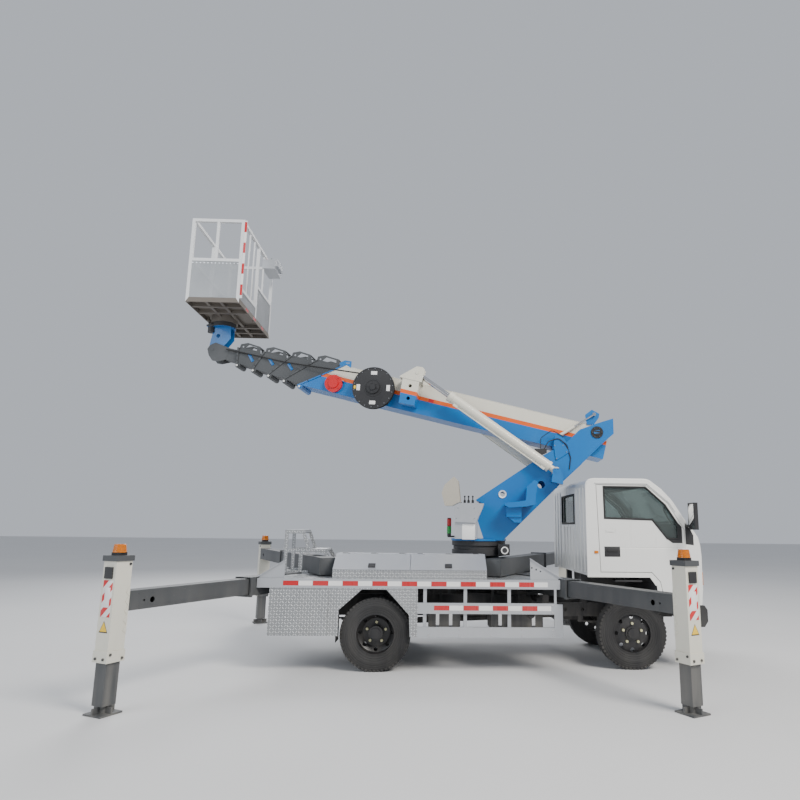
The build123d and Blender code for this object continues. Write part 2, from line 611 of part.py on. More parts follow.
with BuildPart() as column:
    with Locations((slew_x, 0, turntable_z)):
        Cylinder(ring_radius + 12, turntable_height, align=(Align.CENTER, Align.CENTER, Align.MIN))
    for lateral in (-column_half, column_half - column_plate):
        prism(turret_side.offset(lateral), column_outline, column_plate)
    disc(turret_side.offset(-column_half - 1), column_holes, 45, 2 * column_half + 2, Mode.SUBTRACT)
    # cross plates close the lower part of the column into a box
    inner = turret_side.offset(-column_half + 4)
    prism(inner, band(((-300, 1350), (-985, 2020), (-1250, 2265)), -14, 0), 2 * column_half - 8)
    prism(inner, ((-600, 2240), (25, 1822), (12, 1810), (-610, 2226)), 2 * column_half - 8)
    # lift cylinder feet outside the plates
    for side in (-1, 1):
        for near, far in ((column_half - 2, lift_inner), (lift_outer - 14, lift_outer)):
            prism(turret_side.offset(near if side > 0 else -far), foot_outline, far - near)
        start = column_half - 2 if side > 0 else -lift_outer
        prism(turret_side.offset(start), foot_web, lift_outer - column_half + 2)
        pin_start = column_half - 2 if side > 0 else -lift_outer - 4
        disc(turret_side.offset(pin_start), [(lift_base_u, lift_base_z)], 24, lift_outer - column_half + 6)
    # boom pivot pin and its end plates
    disc(turret_side.offset(-column_half - 12), [(-pivot_back, pivot_z)], pivot_pin, 2 * column_half + 24)
    for lateral in (-column_half - 8, column_half - 1):
        disc(turret_side.offset(lateral), [(-pivot_back, pivot_z)], 74, 9)
    # ear and pin of the levelling cylinder
    prism(turret_side.offset(-column_half), level_ear, column_plate)
    disc(turret_side.offset(-column_half), [(level_u, level_z)], 9, column_half + level_side + level_radius)
    # raised panel and the seat of the valve on the right plate
    panel = ((-915, 2511), (-1047, 2511), (-1103, 2408), (-941, 2304))
    prism(turret_side.offset(-column_half - 12), panel, 14, round=12)
    valve = ((-686, 2330), (-833, 2400), (-833, 2450), (-686, 2450))
    prism(turret_side.offset(-column_half - 12), valve, 14)
    # operator's seat on the right plate
    prism(turret_side.offset(-520), seat_outline, 260 - 8, round=18)
    prism(turret_side.offset(-450), ((-336, 1624), (-336, 1740), (-513, 1765), (-513, 1624)),
          450 - column_half)
    prism(turret_side.offset(-430), ((-430, 1560), (-336, 1640), (-513, 1640), (-513, 1560)),
          430 - column_half)
    # hoses along the right plate
    hoses = (
        # outline of the hose's centre line, offset outside the plate, radius
        (((-794, 2431), (-853, 2540), (-975, 2580), (-1075, 2500), (-1118, 2340), (-1100, 2200)), 6.5, 6),
        (((-759, 2445), (-759, 2580), (-899, 2680), (-1040, 2600)), 6.5, 5),
    )
    for points, lateral, radius in hoses:
        side_plane = turret_side.offset(-column_half - lateral)
        spots = [side_plane.from_local_coords(Vector(u, z, 0)) for u, z in points]
        with BuildLine(Plane.XY) as route:
            FilletPolyline(*spots, radius=60)
        with BuildSketch(Plane(origin=route.line @ 0, z_dir=route.line % 0)):
            Circle(radius)
        sweep(path=route.line)
save(column.part, "turret_column")

# Control box beside the seat, its cabinet and signal tower, and its domed cover
box_outline = ((-75, 1775), (188, 1780), (272, 1740), (270, 1560), (20, 1551), (-51, 1704))
cover_outline = ((205, 1798), (302, 1747), (387, 1747), (426, 1895), (391, 1992), (281, 2090), (232, 2042))
cover_space = ((150, 1826), (303, 1751), (384, 1751), (422, 1895), (388, 1990), (281, 2084), (150, 1990))
cover_hinge = (200, 1792)
with BuildPart() as control_box:
    prism(turret_side.offset(-500), box_outline, 500 - column_half, round=6)
    prism(turret_side.offset(-470), ((9, 1366), (9, 1575), (268, 1575), (268, 1366)), 470 - column_half,
          round=4)
    for u, s in ((60, -440), (60, -400), (110, -440), (110, -400), (155, -420)):
        foot = slew_centre + aft * u + beam * s
        with Locations((foot.X, foot.Y, 1775)):
            Cylinder(14, 30, align=(Align.CENTER, Align.CENTER, Align.MIN))
            Cylinder(6, 85, align=(Align.CENTER, Align.CENTER, Align.MIN))
    tower = slew_centre + aft * 343 + beam * -330
    prism(turret_side.offset(-345), ((262, 1380), (262, 1400), (360, 1400), (360, 1380)), 30)
    with Locations((tower.X, tower.Y, 1390)):
        Cylinder(23, 218, align=(Align.CENTER, Align.CENTER, Align.MIN))
    # knuckles for the cover
    for s in (-447.5, -350.5):
        disc(turret_side.offset(s), [cover_hinge], 5, 20)
        prism(turret_side.offset(s), ((184, 1770), (197, 1795), (205, 1790), (214, 1762)), 20)
save(control_box.part, "control_box")
with BuildPart() as control_cover:
    prism(turret_side.offset(-495), cover_outline, 220)
    prism(turret_side.offset(-491), cover_space, 212, Mode.SUBTRACT)
    for s in (-488, -330):
        disc(turret_side.offset(s), [cover_hinge], 5, 40)
        prism(turret_side.offset(s), (cover_hinge, (204, 1802), (212, 1800), (208, 1788)), 40)
save(control_cover.part, "control_cover")

# Boom sections: hollow boxes with raked mouths, collars, bottom lugs and top guide frames
sections = (
    # name, width, top, bottom, back end, mouth at the bottom, mouth at the top
    ("boom_base", 380, 90, -290, -150, 3810, 3310),
    ("boom_section_2", 336, 68, -268, 100, 4036, 3700),
    ("boom_section_3", 292, 46, -246, 180, 4266, 4050),
    ("boom_section_4", 248, 24, -224, 260, 4500, 4420),
    ("boom_section_5", 204, 2, -202, 340, 4741, 4786),
    ("boom_section_6", 160, -20, -180, 420, 4930, 4930),
)
base_half = sections[0][1] / 2
pad_depth = 13.5
collar = 26.0
lip = 11.0
past_tip = 6000.0
cradle = ((2435, -242), (2238, -234), (2253, 76), (2472, 86))
cradle_top = ((2225, 70), (2225, 81), (2510, 81), (2510, 70))
fork = ((2225, 79), (2228, 235), (2262, 258), (2337, 252), (2508, 88), (2508, 79))
fork_plates = ((lift_side - 58, lift_side - 46), (lift_side + 46, lift_side + 60))
cradle_holes = ((2353, -6), (2336, -164))
top_bracket = ((3357, 80), (3357, 118), (3303, 160), (3217, 166), (3200, 80))
level_lug = ((-1319, 2870), (-1319, 2884), (-1401, 2947), (-1492, 2896), (-1484, 2846), (-1422, 2760),
             (-1336, 2760))


def boom_tube(name, width, top, bottom, back, mouth_low, mouth_high):
    """One hollow section with its raked mouth, and a collar and round bottom lug unless it is the innermost."""
    prism(boom_side, ((back, top), (back, bottom), (mouth_low, bottom), (mouth_high, top)), width / 2,
          both=True)
    lean = (mouth_high - mouth_low) / (top - bottom)
    if name != "boom_section_6":
        prism(boom_side, ((mouth_low - lean * lip - collar, bottom - lip),
                          (mouth_low - lean * lip, bottom - lip),
                          (mouth_high + lean * lip, top + lip),
                          (mouth_high + lean * lip - collar, top + lip)),
              width / 2 + lip, both=True)
        lug = ((mouth_low - 62, bottom - lip), (mouth_low - 56, bottom - 38), (mouth_low - 40, bottom - 52),
               (mouth_low - 18, bottom - 52), (mouth_low - 4, bottom - 38), (mouth_low, bottom - lip + 2),
               (mouth_low - 8, bottom + 4), (mouth_low - 56, bottom + 4))
        prism(boom_side, lug, width / 2 + lip, both=True)
        disc(boom_side.offset(-width / 2 - lip - 14), [(mouth_low - 28, bottom - 26)], 17,
             width + 2 * lip + 28)
    start = back - 1 if name != "boom_base" else back + boom_wall
    prism(boom_side, ((start, top - boom_wall), (start, bottom + boom_wall),
                      (past_tip, bottom + boom_wall), (past_tip, top - boom_wall)),
          width / 2 - boom_wall, Mode.SUBTRACT, both=True)


def wear_pads(width, top, bottom, back):
    """Frame of pads around the inner end of a section."""
    inner_end = Plane(origin=boom_pivot + boom_dir * (back + 10), x_dir=beam * -1, z_dir=boom_dir)
    with BuildSketch(inner_end) as pads:
        with Locations((0, (top + bottom) / 2)):
            Rectangle(width + 2 * pad_depth, top - bottom + 2 * pad_depth)
            Rectangle(width - 2 * boom_wall, top - bottom - 2 * boom_wall, mode=Mode.SUBTRACT)
    extrude(pads.sketch, amount=60)


def lift_fork(side):
    """Cradle on the boom's side with two plates that take the lift rod's eye between them."""
    def lateral(near, far):
        return near if side > 0 else -far

    depth = fork_plates[1][1] - base_half + 2
    prism(boom_side.offset(lateral(base_half - 2, base_half - 2 + depth)), cradle, depth)
    disc(boom_side.offset(lateral(base_half + 20, base_half + 30 + depth)), cradle_holes, 22, depth + 10,
         Mode.SUBTRACT)
    prism(boom_side.offset(lateral(base_half - 2, base_half + 3 + depth)), cradle_top, depth + 5)
    for near, far in fork_plates:
        prism(boom_side.offset(lateral(near, far)), fork, far - near)
    near, far = fork_plates[0][1], fork_plates[1][0]
    prism(boom_side.offset(lateral(near, far)), ((2200, 20), (2200, 90), (2472, 90), (2472, 20)), far - near,
          Mode.SUBTRACT)
    for near, far in ((fork_plates[0][0] - 6, fork_plates[0][0] + 1),
                      (fork_plates[1][1] - 1, fork_plates[1][1] + 7)):
        disc(boom_side.offset(lateral(near, far)), [(lift_eye_along, lift_eye_n)], 20, far - near)


def guide_frame(width, top, start, end):
    """Twin plates with see-through windows on top of a section, joined by a bar."""
    for lateral in (-width / 2 + 16, width / 2 - 24):
        prism(boom_side.offset(lateral), ((start, top - 1), (start + 40, top + 92), (end - 110, top + 104),
                                          (end - 22, top + 66), (end - 18, top - 1)), 8)
        prism(boom_side.offset(lateral - 1), ((start + 62, top + 26), (start + 74, top + 74),
                                              (end - 132, top + 82),
                                              (end - 92, top + 26)), 10, Mode.SUBTRACT)
        disc(boom_side.offset(lateral - 1), [(end - 62, top + 40)], 12, 10, Mode.SUBTRACT)
    prism(boom_side.offset(-width / 2 + 16),
          ((start + 36, top + 82), (start + 40, top + 92), (start + 68, top + 95), (start + 68, top + 85)),
          width - 32)


def tip_fork(width):
    """Fork that carries the basket bracket at the end of the innermost section."""
    cheek = ((4900, -20), (4900, -180), (5010, -232), (5080, -238), (5150, -180), (5196, -100), (5176, -40),
             (5110, 10), (5040, 0))
    for lateral in (-width / 2 - 2, width / 2 - 10):
        prism(boom_side.offset(lateral), cheek, 12, round=10)
    disc(boom_side.offset(-width / 2 - 6), [(tip_pivot_along, tip_pivot_n)], 22, width + 12)
    disc(boom_side.offset(-width / 2 - 2), [(5010, -170)], 26, width + 4)


previous_mouth = 0.0
for name, width, top, bottom, back, mouth_low, mouth_high in sections:
    with BuildPart() as section:
        boom_tube(name, width, top, bottom, back, mouth_low, mouth_high)
        if name == "boom_base":
            # bushing of the boom pivot
            disc(boom_side.offset(-column_half + column_plate + 8), [(0, 0)], 58,
                 2 * (column_half - column_plate - 8))
            disc(boom_side.offset(-column_half), [(0, 0)], pivot_pin + pin_gap, 2 * column_half,
                 Mode.SUBTRACT)
            for side in (-1, 1):
                lift_fork(side)
            prism(turret_side.offset(-base_half - 12), level_lug, 14)
            # brackets on both sides of the mouth, with a slot each
            for lateral in (-base_half - 4, base_half - 8):
                prism(boom_side.offset(lateral), top_bracket, 12)
                prism(boom_side.offset(lateral - 1), ((3234, 133), (3238, 145), (3284, 135), (3280, 123)), 14,
                      Mode.SUBTRACT)
            # round cap on the right side with its bolts and lever
            disc(boom_side.offset(-base_half - 46), [(cap_along, cap_n)], cap_radius, 48)
            disc(boom_side.offset(-base_half - 62), [(cap_along, cap_n)], cap_radius * 0.55, 20)
            ring_bolts = [(cap_along + cap_radius * 0.8 * math.cos(a), cap_n + cap_radius * 0.8 * math.sin(a))
                          for a in (0.5, 2.07, 3.64, 5.21)]
            disc(boom_side.offset(-base_half - 56), ring_bolts, 9, 12)
            prism(boom_side.offset(-base_half - 40),
                  ((cap_along - 130, cap_n + 70), (cap_along - 60, cap_n + 96), (cap_along - 52, cap_n + 74),
                   (cap_along - 122, cap_n + 48)), 30)
            # shaft of the cable reel
            disc(boom_side.offset(-base_half - 58), [(reel_along, reel_n)], 60, 60)
        else:
            wear_pads(width, top, bottom, back)
            if name == "boom_section_6":
                tip_fork(width)
            else:
                guide_frame(width, top, previous_mouth + 45, mouth_high)
    previous_mouth = mouth_high
    save(section.part, name)

# Lift cylinders, barrels and rods on both sides of the boom
eye_point = boom_pivot + boom_dir * lift_eye_along + boom_normal * lift_eye_n
base_point = slew_centre + aft * lift_base_u + up * lift_base_z
lift_vector = eye_point - base_point
lift_length = lift_vector.length
lift_dir = lift_vector.normalized()
lift_plane = Plane(origin=base_point, x_dir=lift_dir, z_dir=beam)
with BuildPart() as lift_barrels:
    for side in (-1, 1):
        start = base_point + beam * (side * lift_side)
        across = Plane(origin=start, x_dir=beam, z_dir=lift_dir)
        disc(across.offset(30), [(0, 0)], 38, 70)
        disc(across.offset(90), [(0, 0)], barrel_radius, barrel_length - 90)
        for distance, length in ((94, 30), (barrel_length - 60, 60)):
            disc(across.offset(distance), [(0, 0)], barrel_radius + 6, length)
        disc(lift_plane.offset(side * lift_side - lift_foot / 2 - 5), [(0, 0)], 52, lift_foot + 10)
        disc(lift_plane.offset(side * lift_side - lift_foot), [(0, 0)], 24.5, 2 * lift_foot, Mode.SUBTRACT)
        disc(across.offset(120), [(0, 0)], rod_radius + 1, barrel_length, Mode.SUBTRACT)
        # oil port and pipe along the barrel
        pipe = across.offset(140)
        disc(pipe, [(side * 30, barrel_radius + 2)], 9, barrel_length - 280)
        prism(lift_plane.offset(side * lift_side + side * 30 - 16),
              ((130, -barrel_radius - 12), (130, -45), (190, -45), (190, -barrel_radius - 12)), 32)
        prism(lift_plane.offset(side * lift_side + side * 30 - 16),
              ((barrel_length - 170, -barrel_radius - 12), (barrel_length - 170, -45),
               (barrel_length - 110, -45),
               (barrel_length - 110, -barrel_radius - 12)), 32)
save(lift_barrels.part, "lift_barrels")
rod_start = 560.0
with BuildPart() as lift_rods:
    for side in (-1, 1):
        start = base_point + beam * (side * lift_side)
        disc(Plane(origin=start + lift_dir * rod_start, x_dir=beam, z_dir=lift_dir), [(0, 0)], rod_radius,
             lift_length - rod_start - 30)
        disc(Plane(origin=eye_point + beam * (side * lift_side - 38), x_dir=lift_dir, z_dir=beam), [(0, 0)],
             40, 76)
save(lift_rods.part, "lift_rods")

# Levelling cylinder of the basket, between the column and a lug on the boom
level_base = slew_centre + aft * level_u + up * level_z
level_eye = slew_centre + aft * level_lug_u + up * level_lug_z
level_vector = level_eye - level_base
level_dir = level_vector.normalized()
level_plane = Plane(origin=level_base, x_dir=level_dir, z_dir=beam)
level_barrel_length = 240.0
level_eye_half = 15.0
level_across = Plane(origin=level_base + beam * level_side, x_dir=beam, z_dir=level_dir)
with BuildPart() as level_barrel:
    disc(level_across.offset(16), [(0, 0)], level_radius, level_barrel_length - 16)
    disc(level_plane.offset(level_side - level_eye_half), [(0, 0)], 22, 2 * level_eye_half)
    disc(level_plane.offset(level_side - level_radius - 1), [(0, 0)], 9 + pin_gap, 2 * level_radius + 2,
         Mode.SUBTRACT)
    disc(level_across.offset(24), [(0, 0)], level_rod + 1, level_barrel_length, Mode.SUBTRACT)
save(level_barrel.part, "level_barrel")
with BuildPart() as level_piston:
    disc(level_across.offset(80), [(0, 0)], level_rod, level_vector.length - 80)
    disc(Plane(origin=level_eye + beam * (level_side - 15), x_dir=level_dir, z_dir=beam), [(0, 0)], 22, 30)
save(level_piston.part, "level_rod")

# Cable reel on the right side of the boom
reel_face = -322.0
with BuildPart() as cable_reel:
    for near in (reel_face, reel_face + 60):
        disc(boom_side.offset(near), [(reel_along, reel_n)], reel_radius, 6)
    rim_ring = boom_side.offset(reel_face - 4)
    with BuildSketch(rim_ring) as ring:
        with Locations((reel_along, reel_n)):
            Circle(reel_radius)
            Circle(reel_radius - 14, mode=Mode.SUBTRACT)
            Circle(112)
            Circle(98, mode=Mode.SUBTRACT)
    extrude(ring.sketch, amount=6)
    disc(boom_side.offset(reel_face + 2), [(reel_along, reel_n)], 150, 62)
    disc(boom_side.offset(reel_face - 22), [(reel_along, reel_n)], 76, 26)
    disc(boom_side.offset(reel_face - 40), [(reel_along, reel_n)], 34, 26)
    hub_bolts = [(reel_along + 56 * math.cos(k * math.pi / 3), reel_n + 56 * math.sin(k * math.pi / 3))
                 for k in range(6)]
    disc(boom_side.offset(reel_face - 30), hub_bolts, 7, 12)
    disc(boom_side.offset(-256 - seat_gap), [(reel_along, reel_n)], 40, 8)
    disc(boom_side.offset(reel_face + 50), [(reel_along, reel_n)], 56,
         -reel_face - 50 - base_half - 58 - seat_gap)
save(cable_reel.part, "cable_reel")

# Basket bracket with the basket's turning ring
tip_pivot = boom_pivot + boom_dir * tip_pivot_along + boom_normal * tip_pivot_n
tip_u = (tip_pivot - slew_centre).dot(aft)
tip_z = tip_pivot.Z
ring_centre = slew_centre + aft * basket_ring_u
bracket_top_z = basket_floor_z - 100
fork_half = 64.0
cheek_outline = ((tip_u + 58, tip_z - 9), (tip_u + 44, tip_z + 96), (tip_u + 3, bracket_top_z),
                 (tip_u - 226, bracket_top_z), (tip_u - 232, tip_z + 155), (tip_u - 145, tip_z + 42),
                 (tip_u - 60, tip_z - 30), (tip_u - 30, tip_z - 44), (tip_u + 30, tip_z - 44))
with BuildPart() as basket_bracket:
    for lateral in (-fork_half, fork_half - 10):
        prism(turret_side.offset(lateral), cheek_outline, 10, round=12)
    prism(turret_side.offset(-fork_half),
          ((tip_u - 30, bracket_top_z - 50), (tip_u + 3, bracket_top_z), (tip_u - 226, bracket_top_z),
           (tip_u - 226, bracket_top_z - 15), (tip_u - 100, bracket_top_z - 15)), 2 * fork_half)
    disc(turret_side.offset(-fork_half - 1), [(tip_u - 60, tip_z + 190)], 26, 2 * fork_half + 2,
         Mode.SUBTRACT)
    disc(turret_side.offset(-fork_half), [(tip_u, tip_z)], 42, 2 * fork_half)
    disc(turret_side.offset(-fork_half - 6), [(tip_u, tip_z)], 22.5, 2 * fork_half + 12, Mode.SUBTRACT)
    with Locations((ring_centre.X, ring_centre.Y, bracket_top_z)):
        Cylinder(150, 60, align=(Align.CENTER, Align.CENTER, Align.MIN))
    motor = ring_centre + aft * 150 + beam * -60
    with Locations((motor.X, motor.Y, bracket_top_z - 75)):
        Cylinder(46, 120, align=(Align.CENTER, Align.CENTER, Align.MIN))
    prism(turret_side.offset(-110), ((basket_ring_u + 60, bracket_top_z),
                                     (basket_ring_u + 60, bracket_top_z + 25),
                                     (basket_ring_u + 200, bracket_top_z + 25),
                                     (basket_ring_u + 200, bracket_top_z)),
          100)
save(basket_bracket.part, "basket_bracket")

# Work basket: ribbed floor, posts, rails, balusters and panels
basket_cx = ring_centre.X + basket_shift
basket_cy = ring_centre.Y
bx0 = basket_cx - basket_width / 2
bx1 = basket_cx + basket_width / 2
by0 = basket_cy - basket_length / 2
by1 = basket_cy + basket_length / 2
basket_top_z = basket_floor_z + basket_height
panel_top_z = basket_floor_z + basket_panel
side_panel_low_z = basket_floor_z + 190
side_panel_high_z = basket_floor_z + 490
control_z = basket_top_z - 220
with BuildPart() as basket:
    add_box(bx0, bx1, by0, by1, basket_floor_z, basket_floor_z + basket_floor)
    cut_box(bx0 + 4, bx1 - 4, by0 + 4, by1 - 4, basket_floor_z - 1, basket_floor_z + basket_floor - 6)
    for share in (-0.36, -0.2, 0.2, 0.36):
        y = basket_cy + share * basket_length
        add_box(bx0 + 2, bx1 - 2, y - 20, y + 20, basket_floor_z + 6, basket_floor_z + basket_floor - 4)
    for x in (basket_cx - 90, basket_cx + 90):
        add_box(x - 18, x + 18, by0 + 2, by1 - 2, basket_floor_z + 12, basket_floor_z + basket_floor - 4)
    with Locations((ring_centre.X, ring_centre.Y, bracket_top_z + 60.4)):
        Cylinder(170, basket_floor_z + basket_floor - bracket_top_z - 70.8,
                 align=(Align.CENTER, Align.CENTER, Align.MIN))
    for x in (bx0, bx1 - post):
        for y in (by0, basket_cy - post / 2, by1 - post):
            add_box(x, x + post, y, y + post, basket_floor_z, basket_top_z)
    for x, y0, y1, z in ((bx0, by0, by1, panel_top_z), (bx0, by0, by1, basket_top_z - post),
                         (bx1 - post, by0, by1, basket_top_z - post),
                         (bx1 - post, by0, basket_cy, side_panel_low_z),
                         (bx1 - post, basket_cy, by1, side_panel_high_z)):
        add_box(x, x + post, y0, y1, z, z + post)
    for y in (by0, by1 - post):
        for z in (panel_top_z, basket_top_z - post):
            add_box(bx0, bx1, y, y + post, z, z + post)
    add_box(basket_cx - 15, basket_cx + 15, by0, by0 + 30, panel_top_z + 10, basket_top_z - 5)
    for share in (-0.28, -0.14, 0.18):
        y = basket_cy + share * basket_length
        add_box(bx1 - 26, bx1 - 8, y - 9, y + 9, basket_floor_z + basket_floor - 5, basket_top_z - 5)
    # panels
    add_box(bx0, bx1, by0 + 4, by0 + 8, basket_floor_z, panel_top_z + 10)
    add_box(bx0, bx1, by1 - 8, by1 - 4, basket_floor_z, panel_top_z + 10)
    add_box(bx0 + 4, bx0 + 8, by0, by1, basket_floor_z, panel_top_z + 10)
    add_box(bx1 - 8, bx1 - 4, by0, basket_cy, basket_floor_z, side_panel_low_z + 10)
    add_box(bx1 - 8, bx1 - 4, basket_cy, by1, basket_floor_z, side_panel_high_z + 10)
    # plate on the left post and the wide strip beside the right one
    add_box(bx0 - 14, bx0 + 2, by0 + 6, by0 + 60, basket_floor_z + 140, basket_floor_z + 420)
    add_box(bx1 - 4, bx1 + 34, by0 + 2, by0 + 8, basket_floor_z + 60, basket_top_z - 10)
    # controls on the right rail
    add_box(bx1 - 30, bx1 + 150, basket_cy + 250, by1 - 120, control_z, control_z + 140)
    add_box(bx1 + 100, bx1 + 180, basket_cy + 300, by1 - 170, control_z + 60, control_z + 165)
    for y in (basket_cy + 280, by1 - 180):
        add_box(bx1 - 30, bx1 - 8, y, y + 30, control_z + 130, basket_top_z - post + 5)
save(basket.part, "basket")

# Cab: side profile, hollow, with door openings and window cuts
cab_outer = (
    (2294, cab_floor_z), (2294, 1985), (2306, 2020), (2330, 2045), (2362, 2057), (2400, 2062), (2960, 2062),
    (3000, 2057),
    (3036, 2043), (3160, 1950), (3275, 1826), (3443, 1562), (3510, 1482), (3545, 1420), (3566, 1330),
    (3574, 1220),
    (3568, 850), (3550, cab_front_z), (3080, cab_front_z), (3058, 900), (2990, cab_floor_z))
cab_inner = (
    (2339, cab_floor_z + cab_wall), (2339, 1975), (2360, 2005), (2410, 2017), (2950, 2017), (3010, 2005),
    (3125, 1915), (3235, 1798),
    (3400, 1540), (3500, 1420), (3530, 1310), (3523, 860), (3508, cab_front_z + cab_wall),
    (3120, cab_front_z + cab_wall), (3095, 930), (3010, cab_floor_z + cab_wall))
door_outline = (
    (2439, cab_floor_z + 35), (2412, 1990), (2985, 1990), (3225, 1790), (3400, 1500), (3400, 760),
    (3130, 760), (3098, 930),
    (3008, cab_floor_z + 35))
side_window = (
    (2504, 1618), (2500, 1990 - 25), (2975, 1965), (3190, 1770), (3325, 1560), (3325, 1400), (3200, 1400),
    (3040, 1605))
door_hollow = (
    (2470, cab_floor_z + 60), (2462, 1590), (3030, 1590), (3190, 1380), (3370, 1380), (3370, 800),
    (3160, 800), (3125, 950),
    (3020, cab_floor_z + 60))
arch_lip = ((3058, 900), (2990, cab_floor_z), (2294, cab_floor_z))
screen_line = ((3075, 2014), (3160, 1950), (3275, 1826), (3425, 1590))
rear_window = (330.0, 1560.0, 1900.0)
door_hinge_x = station(3400) - door_gap / 2 - 0.3
body_crease_z = 1290.0
grille_slats = 5
cab_side = cab_half - cab_wall
with BuildPart() as cab_shell:
    prism(Plane.XZ, profile(cab_outer), cab_half, both=True)
    # rounded edges of the roof and of the front
    edges = cab_shell.edges().filter_by(GeomType.LINE)
    long_edges = [e for e in edges if abs(abs(e.center().Y) - cab_half) < 1 and e.center().Z > 1500
                  and e.length > 20 and e.center().X > station(2297)]
    chamfer(long_edges, 14)
    prism(Plane.XZ, profile(cab_inner), cab_side, Mode.SUBTRACT, both=True)
    for side in (-1, 1):
        prism(Plane.XZ.offset(-side * (cab_side - 5)), profile(door_outline), -side * (cab_wall + 10),
              Mode.SUBTRACT)
        # gutter over the door and lip of the wheel arch
        gutter = band(profile(((2400, 2004), (2992, 2004), (3236, 1798), (3300, 1696))), 0, 9)
        prism(Plane.XZ.offset(-side * (cab_half - 2)), gutter, -side * 12)
        lip_line = band(profile(arch_lip), 0, 16)
        prism(Plane.XZ.offset(-side * (cab_half - 12)), lip_line, -side * 22)
    # windscreen opening and rear window
    prism(Plane.XZ, profile(band(screen_line, -75, 60)), cab_half - 70, Mode.SUBTRACT, both=True)
    cut_box(station(2280), station(2350), -rear_window[0], rear_window[0], rear_window[1], rear_window[2])
    # ribs of the rear wall
    for y in (-760, -600, -440, 440, 600, 760):
        add_box(station(2286), station(2296), y * cab_half / 880 - 14, y * cab_half / 880 + 14,
                cab_floor_z + 25, 1960)
    for y in (-280, -120, 40, 200):
        add_box(station(2286), station(2296), y, y + 28, cab_floor_z + 25, 1520)
    # grille across the front panel
    for slat in range(grille_slats):
        z = 1080 + slat * 34
        cut_box(station(3540), station(3600), -420, 420, z, z + 16)
save(cab_shell.part, "cab_shell")

for name, side in (("door_right", -1), ("door_left", 1)):
    with BuildPart() as door:
        prism(Plane.XZ.offset(-side * cab_side), profile(door_outline), -side * cab_wall, shrink=door_gap)
        prism(Plane.XZ.offset(-side * (cab_side - 5)), profile(side_window), -side * (cab_wall + 10),
              Mode.SUBTRACT)
        prism(Plane.XZ.offset(-side * (cab_side - 4)), profile(door_hollow), -side * (cab_wall - 4),
              Mode.SUBTRACT)
        # crease along the belt, recess of the handle and the sill moulding
        crease = Plane.YZ.offset(station(2452))
        outer = side * cab_half
        prism(crease, ((outer + side, body_crease_z), (outer + side, body_crease_z + 14),
                       (outer - side * 4, body_crease_z + 7)), 940, Mode.SUBTRACT)
        cut_box(station(2500), station(2620), outer + side, outer - side * 3, 1455, 1500)
        add_box(station(2512), station(2608), outer - side * 5, outer + side * 4, 1467, 1489)
        for z in (900, 1300):
            with Locations((door_hinge_x, side * (cab_half - 3), z)):
                Cylinder(door_gap / 2, 70)
        # inner trim panel with its arm rest
        add_box(station(2480), station(3040), side * (cab_half - 10), side * (cab_side - 40), 1420, 1470)
    save(door.part, name)
    with BuildPart() as glass:
        prism(Plane.XZ.offset(-side * (cab_half - 22)), profile(side_window), -side * glass_sheet, shrink=0.4)
    save(glass.part, name.replace("door", "door_glass"))

with BuildPart() as cab_glass:
    prism(Plane.XZ, profile(band(screen_line, -17, -17 + glass_sheet)), cab_half - 70.5, both=True,
          shrink=0.4)
    add_box(station(2312), station(2312) + glass_sheet, -rear_window[0] + 0.5, rear_window[0] - 0.5,
            rear_window[1] + 0.5, rear_window[2] - 0.5)
save(cab_glass.part, "cab_glass")

# Cab interior: seats, dash and steering wheel
seat_edge = cab_side - 115
wheel_y = cab_half / 2 + 15
with BuildPart() as cab_interior:
    for y0, y1 in ((-seat_edge, -120), (190, seat_edge)):
        add_box(station(2511), station(2950), y0, y1, cab_floor_z + cab_wall + 0.5, 1330)
        add_box(station(2400), station(2510), y0, y1, cab_floor_z + cab_wall + 0.5, 1820)
    dash = ((3180, 1120), (3160, 1330), (3230, 1400), (3440, 1400), (3440, 1120))
    prism(Plane.XZ, profile(dash), cab_side - 45, both=True)
    with Locations(Location((station(3040), wheel_y, 1500), (0, -55, 0))):
        Torus(190, 14)
        Cylinder(60, 30)
        Box(30, 370, 14)
    with Locations(Location((station(3130), wheel_y, 1420), (0, -55, 0))):
        Cylinder(25, 240)
save(cab_interior.part, "cab_interior")

# Front bumper with its fog lamp recesses, and the lamps
bumper_half = cab_half - 10
bumper_x = station(3443)
bumper_outline = ((bumper_x, 460), (bumper_x, 685), (bumper_x + bumper_depth - 30, 685),
                  (bumper_x + bumper_depth, 640), (bumper_x + bumper_depth, 520),
                  (bumper_x + bumper_depth - 40, 460))
with BuildPart() as bumper:
    prism(Plane.XZ, bumper_outline, bumper_half, both=True)
    cut_box(bumper_x - 1, bumper_x + bumper_depth - 60, -bumper_half + 60, bumper_half - 60, 459, 660)
    cut_box(bumper_x + bumper_depth - 61, bumper_x + bumper_depth + 1, -300, 300, 545, 615)
    for side in (-1, 1):
        add_box(frame_front_x + 0.5, bumper_x + bumper_depth - 50, side * rail_half, side * (rail_half - 85),
                540, 640)
save(bumper.part, "bumper")
lamp_edge = cab_half - 80
with BuildPart() as lamps:
    for side in (-1, 1):
        face = ((3568.9, 880), (3571.7, 1050), (3592, 1044), (3600, 1000), (3597, 890))
        prism(Plane.XZ.offset(-side * (lamp_edge - 240)), profile(face), -side * 240)
        add_box(deck_rear_x - 25, deck_rear_x - 0.5, side * (deck_half - 680), side * (deck_half - 420),
                deck_top_z - 96, deck_top_z - 16)
save(lamps.part, "lamps")

